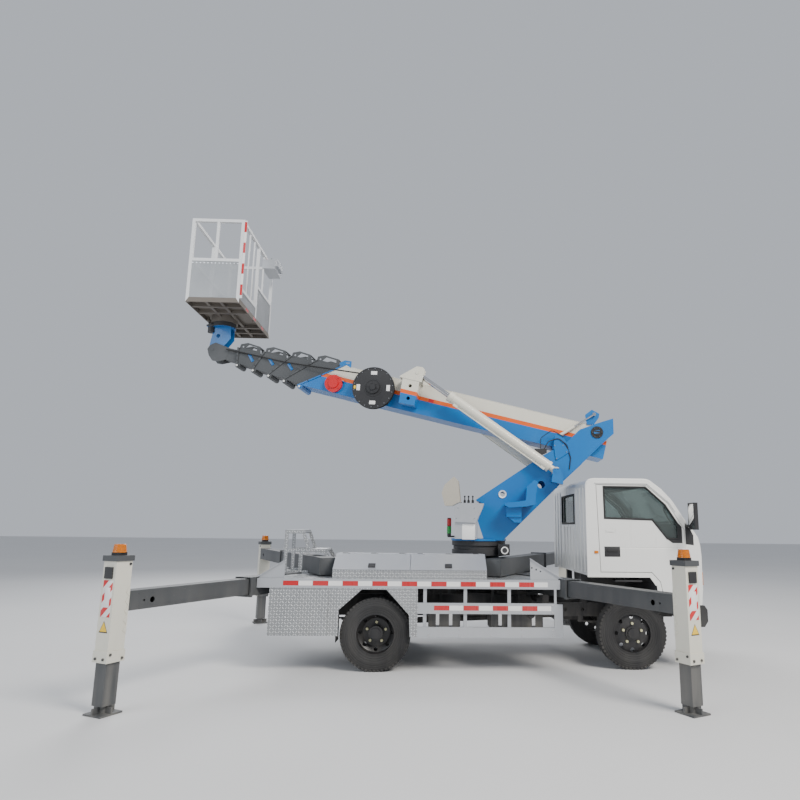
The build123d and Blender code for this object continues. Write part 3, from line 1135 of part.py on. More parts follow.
# Mirrors on black arms: a tall one and a round one on each side
with BuildPart() as mirrors:
    for side in (-1, 1):
        outer = side * (cab_half + mirror_reach)
        add_box(station(3408), station(3433), side * (cab_half + 0.3), outer - side * 150, 1530, 1555)
        add_box(station(3405), station(3445), outer - side * 165, outer, 1500, 1790)
        with Locations(Location((station(3470), outer - side * 210, 1590), (0, 90, 0))):
            Cylinder(85, 30)
        add_box(station(3425), station(3460), outer - side * 222, outer - side * 198, 1530, 1600)
save(mirrors.part, "mirrors")

# Engine with its gearbox, under the cab
with BuildPart() as engine:
    add_box(station(2410), station(2900), -250, 250, 560, 980)
    add_box(station(2060), station(2411), -150, 150, 430, 720)
    add_box(station(2600), station(2680), -rail_half + 10, rail_half - 10, rail_top_z + seat_gap,
            rail_top_z + 18)
save(engine.part, "engine")

# Axles with leaf springs
spring_inner = rail_half - 65
with BuildPart() as front_axle:
    add_box(front_axle_x - 35, front_axle_x + 35, -515, 515, axle_z - 40, axle_z + 30)
    for side in (-1, 1):
        y0, y1 = side * spring_inner, side * rail_half
        for leaf, reach in ((0, 500), (1, 360), (2, 240)):
            add_box(front_axle_x - reach, front_axle_x + reach, y0, y1, axle_z + 63 - 12 * leaf,
                    axle_z + 75 - 12 * leaf)
        add_box(front_axle_x - 45, front_axle_x + 45, y0, y1, axle_z + 29, axle_z + 64)
        for dx in (-475, 475):
            add_box(front_axle_x + dx - 25, front_axle_x + dx + 25, y0 + side * 3, y1 - side * 3, axle_z + 70,
                    rail_bottom_z)
        add_box(front_axle_x - 35, front_axle_x + 35, side * 505, side * 625, axle_z - 30, axle_z + 30)
        with Locations((front_axle_x, side * 590, axle_z)):
            Cylinder(22, 190)
save(front_axle.part, "front_axle")
with BuildPart() as rear_axle:
    with Locations(Location((rear_axle_x, 0, axle_z), (90, 0, 0))):
        Cylinder(60, 1020)
        Cylinder(35, 1480)
    with Locations(Location((rear_axle_x, 0, axle_z), (0, 90, 0))):
        Cylinder(165, 120)
        Cylinder(115, 250)
    for side in (-1, 1):
        y0, y1 = side * spring_inner, side * rail_half
        for leaf, reach in ((0, 560), (1, 430), (2, 300), (3, 180)):
            add_box(rear_axle_x - reach, rear_axle_x + reach, y0, y1, axle_z + 83 - 12 * leaf,
                    axle_z + 95 - 12 * leaf)
        add_box(rear_axle_x - 50, rear_axle_x + 50, y0, y1, axle_z + 30, axle_z + 60)
        for dx in (-535, 535):
            add_box(rear_axle_x + dx - 25, rear_axle_x + dx + 25, y0 + side * 3, y1 - side * 3, axle_z + 90,
                    rail_bottom_z)
    with BuildSketch(Plane(origin=(rear_axle_x, 0, axle_z), x_dir=(0, 1, 0), z_dir=(2055, 0, 95))):
        Circle(35)
    extrude(amount=2056)
save(rear_axle.part, "rear_axle")

# Steering knuckles
for name, side in (("knuckle_right", -1), ("knuckle_left", 1)):
    with BuildPart() as knuckle:
        with Locations((front_axle_x, side * 600, axle_z)):
            Box(90, 110, 200)
        with Locations((front_axle_x, side * 590, axle_z)):
            Box(140, 100, 72, mode=Mode.SUBTRACT)
            Cylinder(22.5, 220, mode=Mode.SUBTRACT)
        with Locations(Location((front_axle_x, side * 690, axle_z), (90, 0, 0))):
            Cylinder(28, 100)
    save(knuckle.part, name)

# Wheels: tyres and rims, single in front and twin at the rear
wheels = (
    # name, axle station, side, centre planes of the tyres
    ("front_right", front_axle_x, -1, (front_track_half,)),
    ("front_left", front_axle_x, 1, (front_track_half,)),
    ("rear_right", rear_axle_x, -1, (rear_outer_half, rear_outer_half - twin_spacing)),
    ("rear_left", rear_axle_x, 1, (rear_outer_half, rear_outer_half - twin_spacing)),
)
half_tyre = tyre_width / 2
barrel = rim_radius - 7
for name, x, side, planes in wheels:
    with BuildPart() as tyre:
        for y in planes:
            with BuildSketch(Plane(origin=(x, side * y, axle_z), x_dir=(0, 1, 0),
                                   z_dir=(1, 0, 0))) as section:
                with BuildLine():
                    Polyline((-half_tyre + 22, rim_radius - 6), (-half_tyre, 290), (-half_tyre + 8, 340),
                             (-half_tyre + 16, tyre_radius - 8), (-half_tyre + 30, tyre_radius),
                             (half_tyre - 30, tyre_radius), (half_tyre - 16, tyre_radius - 8),
                             (half_tyre - 8, 340),
                             (half_tyre, 290), (half_tyre - 22, rim_radius - 6), close=True)
                make_face()
                # grooves of the tread
                with Locations(*[(g, tyre_radius) for g in (-38, 0, 38)]):
                    Rectangle(8, 20, mode=Mode.SUBTRACT)
            revolve(axis=Axis((x, side * y, axle_z), (0, 1, 0)))
    save(tyre.part, "tyre_" + name)
    with BuildPart() as rim:
        outermost = Plane(origin=(x, side * planes[0], axle_z), x_dir=(1, 0, 0), z_dir=(0, side, 0))
        for index, y in enumerate(planes):
            if len(planes) == 1:
                plate = ((29, 45), (29, 150), (18, 205), (30, 205), (41, 150), (41, 45))
            else:
                inward = -1 if index == 0 else 1
                plate = [(inward * a, b) for a, b in ((58, 205), (67, 205), (106, 150), (106, 45), (97, 45),
                                                      (97, 146))]
            with BuildSketch(Plane(origin=(x, side * y, axle_z), x_dir=(0, side, 0), z_dir=(side, 0, 0))):
                with BuildLine():
                    Polyline((-half_tyre + 20, barrel - rim_wall), (-half_tyre + 20, barrel),
                             (half_tyre - 20, barrel),
                             (half_tyre - 20, barrel - rim_wall), close=True)
                make_face()
                with BuildLine():
                    Polyline(*plate, close=True)
                make_face()
            revolve(axis=Axis((x, side * y, axle_z), (0, 1, 0)))
        # hand holes around the disc
        holes = [(172 * math.cos(k * math.tau / hand_holes), 172 * math.sin(k * math.tau / hand_holes))
                 for k in range(hand_holes)]
        disc(outermost.offset(-130), holes, 21, 200, Mode.SUBTRACT)
        # hub with its cap and the wheel nuts
        single = len(planes) == 1
        hub_y = planes[0] + 5 if single else planes[0] - 56
        with Locations(Location((x, side * hub_y, axle_z), (90, 0, 0))):
            Cylinder(75, 110)
            Cylinder(29 if single else 36, 260, mode=Mode.SUBTRACT)
        face = 29 if single else -106
        nuts = [(105 * math.cos(k * math.tau / wheel_nuts + 0.3),
                 105 * math.sin(k * math.tau / wheel_nuts + 0.3))
                for k in range(wheel_nuts)]
        disc(outermost.offset(face + 8), nuts, 14, 26)
        disc(outermost.offset(hub_y - planes[0] + 50), [(0, 0)], 52, 22)
    save(rim.part, "rim_" + name)

print("built")
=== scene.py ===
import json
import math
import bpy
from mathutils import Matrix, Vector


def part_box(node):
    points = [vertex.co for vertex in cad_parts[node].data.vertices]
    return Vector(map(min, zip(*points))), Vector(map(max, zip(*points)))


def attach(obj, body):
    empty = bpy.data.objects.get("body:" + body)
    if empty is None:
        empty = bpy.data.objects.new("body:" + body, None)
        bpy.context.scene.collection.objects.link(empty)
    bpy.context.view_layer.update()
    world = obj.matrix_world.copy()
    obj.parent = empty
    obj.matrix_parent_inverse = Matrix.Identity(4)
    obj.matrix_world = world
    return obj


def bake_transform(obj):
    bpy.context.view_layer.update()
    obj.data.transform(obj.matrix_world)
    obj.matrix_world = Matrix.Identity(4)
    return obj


bl_info = {
    "name": "Cherry Picker Truck",
    "version": (1, 0, 0),
    "blender": (4, 5, 0),
    "location": "View3D > Sidebar > Truck",
    "description": "Finishes and trim of a light truck with a telescopic work platform",
    "category": "Object",
}

import bmesh
import bpy
from bpy.props import FloatProperty, FloatVectorProperty, IntProperty, PointerProperty
from mathutils import Matrix, Vector

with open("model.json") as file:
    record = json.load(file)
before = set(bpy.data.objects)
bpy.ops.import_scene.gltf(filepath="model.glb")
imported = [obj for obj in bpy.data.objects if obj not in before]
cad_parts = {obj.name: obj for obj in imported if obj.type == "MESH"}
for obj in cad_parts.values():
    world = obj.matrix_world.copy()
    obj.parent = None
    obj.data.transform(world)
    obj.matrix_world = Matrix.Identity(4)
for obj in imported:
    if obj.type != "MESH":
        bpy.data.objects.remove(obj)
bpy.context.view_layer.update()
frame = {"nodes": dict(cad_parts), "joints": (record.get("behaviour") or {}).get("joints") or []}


# Places: each is a matrix from a piece's own axes to the shared frame

def joint(name):
    """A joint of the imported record."""
    return next(j for j in frame["joints"] if j["name"] == name)


def place_of(origin, first, second, third):
    """Matrix whose columns are three unit directions and whose place is the origin."""
    return Matrix.Translation(origin) @ Matrix((first, second, third)).transposed().to_4x4()


UP = Vector((0, 0, 1))
BEAM = Vector(joint("boom_lift")["axis"])
ALONG = Vector(joint("telescope_2")["axis"])
AFT = UP.cross(BEAM)
SLEW = Vector(joint("turret_slew")["pos_m"]) * Vector((1, 1, 0))
PIVOT = Vector(joint("boom_lift")["pos_m"])
REAR_AXLE_X = joint("wheel_rear_right_spin")["pos_m"][0]
TRUCK = Matrix.Translation((REAR_AXLE_X, 0, 0))
TURRET = place_of(SLEW, AFT, BEAM, UP)
BOOM = place_of(PIVOT, ALONG, BEAM, BEAM.cross(ALONG))
TURRET_BACK = TURRET.inverted()
BOOM_BACK = BOOM.inverted()
WHEELBASE = joint("wheel_front_right_spin")["pos_m"][0] - REAR_AXLE_X
AXLE_Z = joint("wheel_rear_right_spin")["pos_m"][2]
SIDES = (("right", -1), ("left", 1))
WHEELS = (
    # start of the name, place of the axle along the truck, distances of its tyres from the middle
    ("front", REAR_AXLE_X + WHEELBASE, (0.712,)),
    ("rear", REAR_AXLE_X, (0.842, 0.630)),
)
CORNERS = ("front_right", "front_left", "rear_right", "rear_left")
# Distances from the truck's middle to the side guards, the doors and the column's side plates
GUARD_FACE = 0.9795
DOOR_FACE = 0.8792
COLUMN_FACE = 0.2702
# Two corners of the valve block on the column
VALVE_LOW = (-0.834, 2.329)
VALVE_HIGH = (-0.685, 2.452)
# Inner and outer radius of the tread blocks, and their edges from the tyre's middle
TREAD_RADIUS = (0.352, 0.3742)
TREAD_EDGE = (0.056, 0.0785)
# Half width of a jack and of its collar, and heights of its head, its collar and its arm
JACK_FACE = 0.0745
COLLAR_FACE = 0.0825
HEAD_Z = 1.240
COLLAR_Z = 0.400
ARM_Z = {"right": 0.868, "left": 1.0565}


def jack_place(corner):
    """Place at a jack's foot: outwards along its arm, across it, and up."""
    low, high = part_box("jack_leg_" + corner)
    out = -Vector(joint("outrigger_" + corner + "_slide")["axis"])
    return place_of(((low[0] + high[0]) / 2, (low[1] + high[1]) / 2, 0), out, UP.cross(out), UP)


JACKS = {corner: jack_place(corner) for corner in CORNERS}
# From the basket's turning axis to its middle
BASKET_OFFSET = Vector((0.078, 0, 0))
BASKET = Vector(joint("basket_turn")["pos_m"]) * Vector((1, 1, 0)) + BASKET_OFFSET
BASKET_FLOOR_Z = 4.21
BASKET_HALF_X = 0.3275
BASKET_HALF_Y = 0.75
# Lower edge of a locker lid as distance out and height, and the direction of its slope inwards and up
LID_EDGE = (0.971, 1.0382)
LID_RUN = (0.8436, 0.5370)
# Middles of the cable reel and of the capped side opening, along, across and above the boom
REEL = Vector((2.817, -0.326, -0.124))
RED_CAP = Vector((3.354, -0.190, -0.175))
BOOM_MOUTHS = (
    # body, half width, ends of the raked mouth below and above, bottom and top across the boom
    ("boom_base", 0.190, 3.810, 3.310, -0.290, 0.090),
    ("boom_section_2", 0.168, 4.036, 3.700, -0.268, 0.068),
    ("boom_section_3", 0.146, 4.266, 4.050, -0.246, 0.046),
    ("boom_section_4", 0.124, 4.500, 4.420, -0.224, 0.024),
    ("boom_section_5", 0.102, 4.741, 4.786, -0.202, 0.002),
)
CLAMPS = (
    # body, upper and lower end of a hose clamp along and across the boom, half width there
    ("boom_section_5", (4.606, -0.042), (4.525, -0.128), 0.102),
    ("boom_section_4", (4.314, -0.039), (4.235, -0.111), 0.124),
    ("boom_section_3", (4.036, -0.048), (3.961, -0.119), 0.146),
)
# Points of the cable along the boom, along, across and above the boom
CABLE_RUN = ((2.90, -0.285, 0.035), (3.86, -0.196, -0.033), (4.06, -0.168, -0.044), (4.33, -0.146, -0.044),
             (4.62, -0.124, -0.046), (4.93, -0.102, -0.050))
# Edges flatter than the first are shaded smooth, edges sharper than the second are bevelled
SMOOTH_ANGLE = math.radians(35)
SHARP_ANGLE = 0.6
FINISHES = {}


# Mesh building

def block(mesh, place, low, high):
    """Add a block between two corners of a place."""
    size = Vector(high) - Vector(low)
    middle = (Vector(high) + Vector(low)) / 2
    at = place @ Matrix.Translation(middle) @ Matrix.Diagonal((*size, 1))
    bmesh.ops.create_cube(mesh, size=1, matrix=at)


def rod(mesh, start, run, radius, segments=16):
    """Add a round bar from a point along a vector."""
    at = Matrix.Translation(start + run / 2) @ run.to_track_quat("Z", "Y").to_matrix().to_4x4()
    bmesh.ops.create_cone(mesh, cap_ends=True, segments=segments, radius1=radius, radius2=radius,
                          depth=run.length, matrix=at)


def ball(mesh, centre, radius):
    """Add a ball."""
    bmesh.ops.create_uvsphere(mesh, u_segments=16, v_segments=10, radius=radius,
                              matrix=Matrix.Translation(centre))


def plate(mesh, place, outline, near, far):
    """Add a plate with an outline in a place's first and third axes, between two offsets on the second."""
    corners = [mesh.verts.new(place @ Vector((a, near, b))) for a, b in outline]
    face = mesh.faces.new(corners)
    made = bmesh.ops.extrude_face_region(mesh, geom=[face])["geom"]
    moved = [g for g in made if isinstance(g, bmesh.types.BMVert)]
    bmesh.ops.translate(mesh, verts=moved, vec=place.to_3x3() @ Vector((0, far - near, 0)))


def lathe(mesh, centre, axis, outline, segments=96):
    """Add a body turned from (distance along the axis, radius) points, closed on itself."""
    axis = Vector(axis).normalized()
    out = axis.orthogonal().normalized()
    verts = [mesh.verts.new(Vector(centre) + axis * a + out * r) for a, r in outline]
    edges = [mesh.edges.new((verts[i], verts[(i + 1) % len(verts)])) for i in range(len(verts))]
    bmesh.ops.spin(mesh, geom=verts + edges, cent=centre, axis=axis, angle=math.tau,
                   steps=segments, use_merge=True)


def tube(mesh, points, radius, segments=8, closed=False):
    """Add a round bar through points, mitred at each."""
    count = len(points)
    links = range(count if closed else count - 1)
    rings = []
    for i, point in enumerate(points):
        before = points[i - 1] if closed or i > 0 else None
        after = points[(i + 1) % count] if closed or i < count - 1 else None
        came = (point - before).normalized() if before is not None else (after - point).normalized()
        goes = (after - point).normalized() if after is not None else came
        along = (came + goes).normalized()
        if not rings:
            side = along.orthogonal().normalized()
        side = (side - along * side.dot(along)).normalized()
        other = along.cross(side)
        stretch = 1 / max(0.5, along.dot(goes))
        bend = (goes - came).normalized() if (goes - came).length > 1e-5 else side
        ring = []
        for k in range(segments):
            turn = math.tau * k / segments
            spoke = (side * math.cos(turn) + other * math.sin(turn)) * radius
            ring.append(mesh.verts.new(point + spoke + bend * spoke.dot(bend) * (stretch - 1)))
        rings.append([mesh.edges.new((ring[k], ring[(k + 1) % segments])) for k in range(segments)])
    for i in links:
        bmesh.ops.bridge_loops(mesh, edges=rings[i] + rings[(i + 1) % count])
    if not closed:
        for ring in (rings[0], rings[-1]):
            bmesh.ops.contextual_create(mesh, geom=ring)


def spot(place, *numbers):
    """Point of the shared frame for a place's own coordinates."""
    return place @ Vector(numbers)


def route(place, points):
    """Points of the shared frame for a list of a place's own coordinates."""
    return [place @ Vector(point) for point in points]


def circle(count, radius, start=0.0):
    """Points round a circle as pairs."""
    turns = [start + math.tau * k / count for k in range(count)]
    return [(radius * math.cos(turn), radius * math.sin(turn)) for turn in turns]


def finish_piece(mesh, name, body, finish, bevel=0.0):
    """Turn the mesh into a piece that rides on a body."""
    bmesh.ops.remove_doubles(mesh, verts=mesh.verts, dist=1e-6)
    if bevel:
        sharp = [e for e in mesh.edges if len(e.link_faces) == 2 and e.calc_face_angle() > SHARP_ANGLE]
        bmesh.ops.bevel(mesh, geom=sharp, offset=bevel, segments=2, profile=0.5, affect="EDGES", material=-1)
    bmesh.ops.recalc_face_normals(mesh, faces=mesh.faces)
    for edge in mesh.edges:
        edge.smooth = len(edge.link_faces) == 2 and edge.calc_face_angle() < SMOOTH_ANGLE
    for face in mesh.faces:
        face.smooth = True
    data = bpy.data.meshes.new(name)
    mesh.to_mesh(data)
    mesh.free()
    piece = bpy.data.objects.new(name, data)
    bpy.context.scene.collection.objects.link(piece)
    data.materials.append(FINISHES[finish])
    if body:
        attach(piece, body)
    return piece


def box_piece(name, body, finish, place, low, high, bevel=0.0):
    """Piece of one block between two corners of a place."""
    mesh = bmesh.new()
    block(mesh, place, low, high)
    finish_piece(mesh, name, body, finish, bevel)


def plate_piece(name, body, finish, place, outline, near, far, bevel=0.0):
    """Piece of one plate."""
    mesh = bmesh.new()
    plate(mesh, place, outline, near, far)
    finish_piece(mesh, name, body, finish, bevel)


def tube_piece(name, body, finish, points, radius, closed=True):
    """Piece of one round bar."""
    mesh = bmesh.new()
    tube(mesh, points, radius, segments=10, closed=closed)
    return finish_piece(mesh, name, body, finish)


def stud_piece(name, body, finish, rows, segments=6):
    """Piece of bolt heads, each given by its foot, its run and its radius."""
    mesh = bmesh.new()
    for foot, run, radius in rows:
        rod(mesh, foot, run, radius, segments=segments)
    finish_piece(mesh, name, body, finish)


# Node groups

def new_group(name, inputs, outputs):
    """Empty shader group with named sockets. Each is (name, type, default)."""
    group = bpy.data.node_groups.new(name, "ShaderNodeTree")
    for label, kind, default in inputs:
        socket = group.interface.new_socket(label, in_out="INPUT", socket_type="NodeSocket" + kind)
        if default is not None:
            socket.default_value = default
    for label, kind in outputs:
        group.interface.new_socket(label, in_out="OUTPUT", socket_type="NodeSocket" + kind)
    return group


class Net:
    """Short way to place and join nodes in a node tree."""

    def __init__(self, tree):
        self.tree = tree

    def node(self, kind, inputs=(), **settings):
        """New node with settings, and inputs as (socket, value or output) pairs."""
        made = self.tree.nodes.new("ShaderNode" + kind if not kind.startswith("Node") else kind)
        for key, value in settings.items():
            setattr(made, key, value)
        for key, value in inputs:
            self.put(made.inputs[key], value)
        return made

    def put(self, socket, value):
        """Join an output to a socket, or set the socket's value."""
        if isinstance(value, bpy.types.NodeSocket):
            self.tree.links.new(value, socket)
        else:
            socket.default_value = value

    def math(self, operation, *values, clamp=False):
        """Output of a math node."""
        made = self.node("Math", list(enumerate(values)), operation=operation, use_clamp=clamp)
        return made.outputs[0]

    def times(self, first, second, clamp=False):
        """Product."""
        return self.math("MULTIPLY", first, second, clamp=clamp)

    def plus(self, first, second, clamp=False):
        """Sum."""
        return self.math("ADD", first, second, clamp=clamp)

    def minus(self, first, second):
        """Difference."""
        return self.math("SUBTRACT", first, second)

    def over(self, first, second):
        """Quotient."""
        return self.math("DIVIDE", first, second)

    def step(self, value, low, high):
        """Smooth rise from 0 at low to 1 at high."""
        made = self.node("MapRange", ((0, value), (1, low), (2, high)), interpolation_type="SMOOTHSTEP")
        return made.outputs[0]

    def mix(self, factor, first, second):
        """Colour between first and second."""
        made = self.node("Mix", ((0, factor), (6, first), (7, second)), data_type="RGBA")
        return made.outputs[2]

    def noise(self, vector, scale, detail=3.0, stretch=None):
        """Noise output on a vector, stretched along an axis if asked."""
        if stretch:
            vector = self.node("Mapping", ((0, vector), (3, stretch))).outputs[0]
        return self.node("TexNoise", (("Vector", vector), ("Scale", scale), ("Detail", detail))).outputs[0]

    def axes(self, vector):
        """The three numbers of a vector."""
        return self.node("SeparateXYZ", ((0, vector),)).outputs


def weathering_group():
    """Colour, roughness and height of a used surface: cloudy tone, fine scuffs, chips, and dust low down."""
    group = new_group("Weathering", (
        ("Vector", "Vector", None), ("Color", "Color", (0.8, 0.8, 0.8, 1)), ("Roughness", "Float", 0.4),
        ("Tone", "Float", 0.06), ("Scuff", "Float", 0.1), ("Chips", "Float", 0.1), ("Dust", "Float", 0.3),
        ("Bare Color", "Color", (0.25, 0.24, 0.23, 1)), ("Dust Color", "Color", (0.42, 0.39, 0.34, 1)),
        ("Grain", "Float", 90.0),
    ), (("Color", "Color"), ("Roughness", "Float"), ("Height", "Float")))
    net = Net(group)
    given = net.node("NodeGroupInput").outputs
    vector = given["Vector"]
    cloud = net.noise(vector, 1.7, 4.0)
    grain = net.noise(vector, given["Grain"], 2.0)
    streak = net.noise(vector, 9.0, 3.0, stretch=(1.0, 1.0, 0.12))
    tone = net.times(net.minus(cloud, 0.5), given["Tone"])
    lit = net.node("BrightContrast", ((0, given["Color"]), (1, tone))).outputs[0]
    chip = net.times(net.step(net.noise(vector, 34.0, 6.0), 0.69, 0.72), net.step(cloud, 0.5, 0.62))
    chipped = net.mix(net.times(chip, given["Chips"]), lit, given["Bare Color"])
    height = net.axes(vector)[2]
    low = net.step(net.times(height, -1.0), -1.15, -0.15)
    dust = net.times(low, given["Dust"])
    dust = net.times(dust, net.step(streak, 0.25, 0.75), clamp=True)
    dusted = net.mix(dust, chipped, given["Dust Color"])
    scuffed = net.times(net.minus(streak, 0.4), given["Scuff"])
    rough = net.plus(net.plus(given["Roughness"], scuffed), net.times(dust, 0.35), clamp=True)
    rise = net.minus(net.times(grain, 0.3), net.times(chip, given["Chips"]))
    net.node("NodeGroupOutput", ((0, dusted), (1, rough), (2, rise)))
    return group


def tread_plate_group():
    """Raised lozenges of tread plate on a plane vector in metres: mask of the lozenges."""
    group = new_group("Tread Plate", (
        ("Across", "Float", 0.0), ("Along", "Float", 0.0), ("Pitch", "Float", 0.030),
    ), (("Mask", "Float"),))
    net = Net(group)
    given = net.node("NodeGroupInput").outputs
    across = net.over(given["Across"], given["Pitch"])
    along = net.over(given["Along"], given["Pitch"])
    cells = net.plus(net.math("FLOOR", across), net.math("FLOOR", along))
    turn = net.minus(net.times(net.math("PINGPONG", cells, 1.0), 2.0), 1.0)
    a = net.minus(net.math("FRACT", across), 0.5)
    b = net.times(net.minus(net.math("FRACT", along), 0.5), turn)
    length = net.over(net.plus(a, b), 0.66)
    width = net.over(net.minus(a, b), 0.19)
    reach = net.plus(net.times(length, length), net.times(width, width))
    mask = net.step(net.times(reach, -1.0), -1.1, -0.7)
    net.node("NodeGroupOutput", ((0, mask),))
    return group


def hole_grid_group():
    """Staggered round holes on a plane vector in metres: 1 in the sheet and 0 in a hole."""
    group = new_group("Hole Grid", (
        ("Across", "Float", 0.0), ("Along", "Float", 0.0), ("Pitch", "Float", 0.016), ("Hole", "Float", 0.2),
    ), (("Sheet", "Float"),))
    net = Net(group)
    given = net.node("NodeGroupInput").outputs
    row = net.math("FLOOR", net.over(given["Along"], given["Pitch"]))
    shift = net.times(net.math("PINGPONG", row, 1.0), 0.5)
    a = net.math("FRACT", net.plus(net.over(given["Across"], given["Pitch"]), shift))
    b = net.math("FRACT", net.over(given["Along"], given["Pitch"]))
    da = net.minus(a, 0.5)
    db = net.minus(b, 0.5)
    reach = net.math("SQRT", net.plus(net.times(da, da), net.times(db, db)))
    sheet = net.step(net.minus(reach, given["Hole"]), -0.03, 0.03)
    net.node("NodeGroupOutput", ((0, sheet),))
    return group


def shared(name, build):
    """A node group, built the first time it is asked for."""
    return bpy.data.node_groups.get(name) or build()


# Materials

def start_material(name):
    """New material with its net, shader and object coordinates."""
    material = bpy.data.materials.new(name)
    material.use_nodes = True
    net = Net(material.node_tree)
    shader = material.node_tree.nodes["Principled BSDF"]
    vector = net.node("TexCoord").outputs["Object"]
    return material, net, shader, vector


def surface(name, colour, roughness, metallic, coat, chips, dust, bump, grain, tone=0.06, scuff=0.12,
            bare=(0.2, 0.19, 0.18), painted=None, raised=None):
    """Worn finish. painted gives another base colour from the net (on tread plate it holds painted highlight
    and painted shade), raised adds to the height.
    """
    material, net, shader, vector = start_material(name)
    base = painted(net, vector) if painted else (*colour, 1)
    worn = net.node("Group", node_tree=shared("Weathering", weathering_group))
    for key, value in (("Vector", vector), ("Color", base), ("Roughness", roughness), ("Tone", tone),
                       ("Scuff", scuff), ("Chips", chips), ("Dust", dust), ("Bare Color", (*bare, 1)),
                       ("Grain", grain)):
        net.put(worn.inputs[key], value)
    height = worn.outputs["Height"]
    if raised:
        height = net.plus(height, raised(net, vector))
    relief = net.node("Bump", (("Strength", bump), ("Distance", 0.002), ("Height", height)))
    net.put(shader.inputs["Base Color"], worn.outputs["Color"])
    net.put(shader.inputs["Roughness"], worn.outputs["Roughness"])
    net.put(shader.inputs["Normal"], relief.outputs[0])
    shader.inputs["Metallic"].default_value = metallic
    shader.inputs["Coat Weight"].default_value = coat
    return material


def position_in(net, vector, place):
    """Coordinates of a vector in the shared frame in the axes of a place."""
    back = place.inverted()
    rows = []
    for row in back[:3]:
        dot = net.node("VectorMath", ((0, vector), (1, row.xyz)), operation="DOT_PRODUCT").outputs["Value"]
        rows.append(net.plus(dot, row.w))
    return rows


# Settings

class TruckPaint(bpy.types.PropertyGroup):
    """Colours of the paints"""

    azure: FloatVectorProperty(
        name="Azure", description="Column, basket bracket and lower boom", subtype="COLOR", size=3,
        default=(0.0008, 0.142, 0.43))
    ivory: FloatVectorProperty(
        name="Ivory", description="Upper boom, lift cylinders and jacks", subtype="COLOR", size=3,
        default=(0.67, 0.65, 0.56))
    orange: FloatVectorProperty(
        name="Orange", description="Stripe along the boom", subtype="COLOR", size=3,
        default=(0.72, 0.11, 0.008))
    cab_white: FloatVectorProperty(
        name="Cab white", description="Cab and doors", subtype="COLOR", size=3,
        default=(0.80, 0.80, 0.775))
    dark_grey: FloatVectorProperty(
        name="Dark grey", description="Outriggers and boom sections", subtype="COLOR", size=3,
        default=(0.062, 0.066, 0.07))


class TruckTrim(bpy.types.PropertyGroup):
    """Sizes of the trim"""

    tape_step: FloatProperty(
        name="Tape step", description="From one red bar of the deck's tape to the next", unit="LENGTH",
        default=0.313, min=0.05)
    tape_length: FloatProperty(
        name="Tape bar", description="Length of a red bar of the deck's tape", unit="LENGTH",
        default=0.163, min=0.01)
    tread_blocks: IntProperty(name="Tread blocks", description="Blocks around one tyre", default=54, min=8)
    stripe_low: FloatProperty(
        name="Stripe low edge", description="Height of the stripe above the boom's pivot line", unit="LENGTH",
        default=-0.115)
    stripe_high: FloatProperty(
        name="Stripe high edge", description="Top of the stripe above the boom's pivot line", unit="LENGTH",
        default=-0.066)


def paint():
    """Colours now set."""
    return bpy.context.scene.truck_paint


def trim():
    """Sizes now set."""
    return bpy.context.scene.truck_trim


def boom_coat(net, vector):
    """Ivory above the stripe and azure below it."""
    height = position_in(net, vector, BOOM)[2]
    above = net.math("GREATER_THAN", height, trim().stripe_low)
    over = net.math("GREATER_THAN", height, trim().stripe_high)
    lower = net.mix(above, (*paint().azure, 1), (*paint().orange, 1))
    return net.mix(over, lower, (*paint().ivory, 1))


def chequer(net, vector):
    """Tread plate height on whichever way a panel faces, also the mask of the painted highlight on the
    lozenges.
    """
    x, y, z = net.axes(vector)
    facing = net.axes(net.node("NewGeometry").outputs["True Normal"])
    flat = net.math("GREATER_THAN", net.math("ABSOLUTE", facing[2]), 0.7)
    endways = net.math("GREATER_THAN", net.math("ABSOLUTE", facing[0]), 0.7)
    across = net.node("Mix", ((0, endways), (2, x), (3, y))).outputs[0]
    along = net.node("Mix", ((0, flat), (2, z), (3, y))).outputs[0]
    group = net.node("Group", node_tree=shared("Tread Plate", tread_plate_group))
    net.put(group.inputs["Across"], across)
    net.put(group.inputs["Along"], along)
    return group.outputs[0]


def chequer_painted_shade(net, vector):
    """Tread plate colour: bright lozenges as a painted highlight, on a duller ground darkened as painted
    shade between them.
    """
    ground = net.mix(net.noise(vector, 5.0, 4.0), (0.30, 0.31, 0.32, 1), (0.42, 0.43, 0.44, 1))
    return net.mix(chequer(net, vector), ground, (0.78, 0.79, 0.80, 1))


def tread_height(axle_x, axle_z, pitches):
    """Height of a tyre's sipes and sidewall rings, worked out around its axle."""
    def height(net, vector):
        x, y, z = net.axes(vector)
        dx = net.minus(x, axle_x)
        dz = net.minus(z, axle_z)
        turn = net.times(net.math("ARCTAN2", dz, dx), pitches / math.tau)
        sipe = net.step(net.math("PINGPONG", turn, 0.5), 0.04, 0.09)
        radius = net.math("SQRT", net.plus(net.times(dx, dx), net.times(dz, dz)))
        on_tread = net.step(radius, 0.355, 0.362)
        ring = net.step(net.math("PINGPONG", net.times(radius, 45.0), 0.5), 0.08, 0.2)
        side = net.times(ring, net.minus(1.0, on_tread))
        return net.times(net.plus(net.times(sipe, on_tread), side), 3.0)
    return height


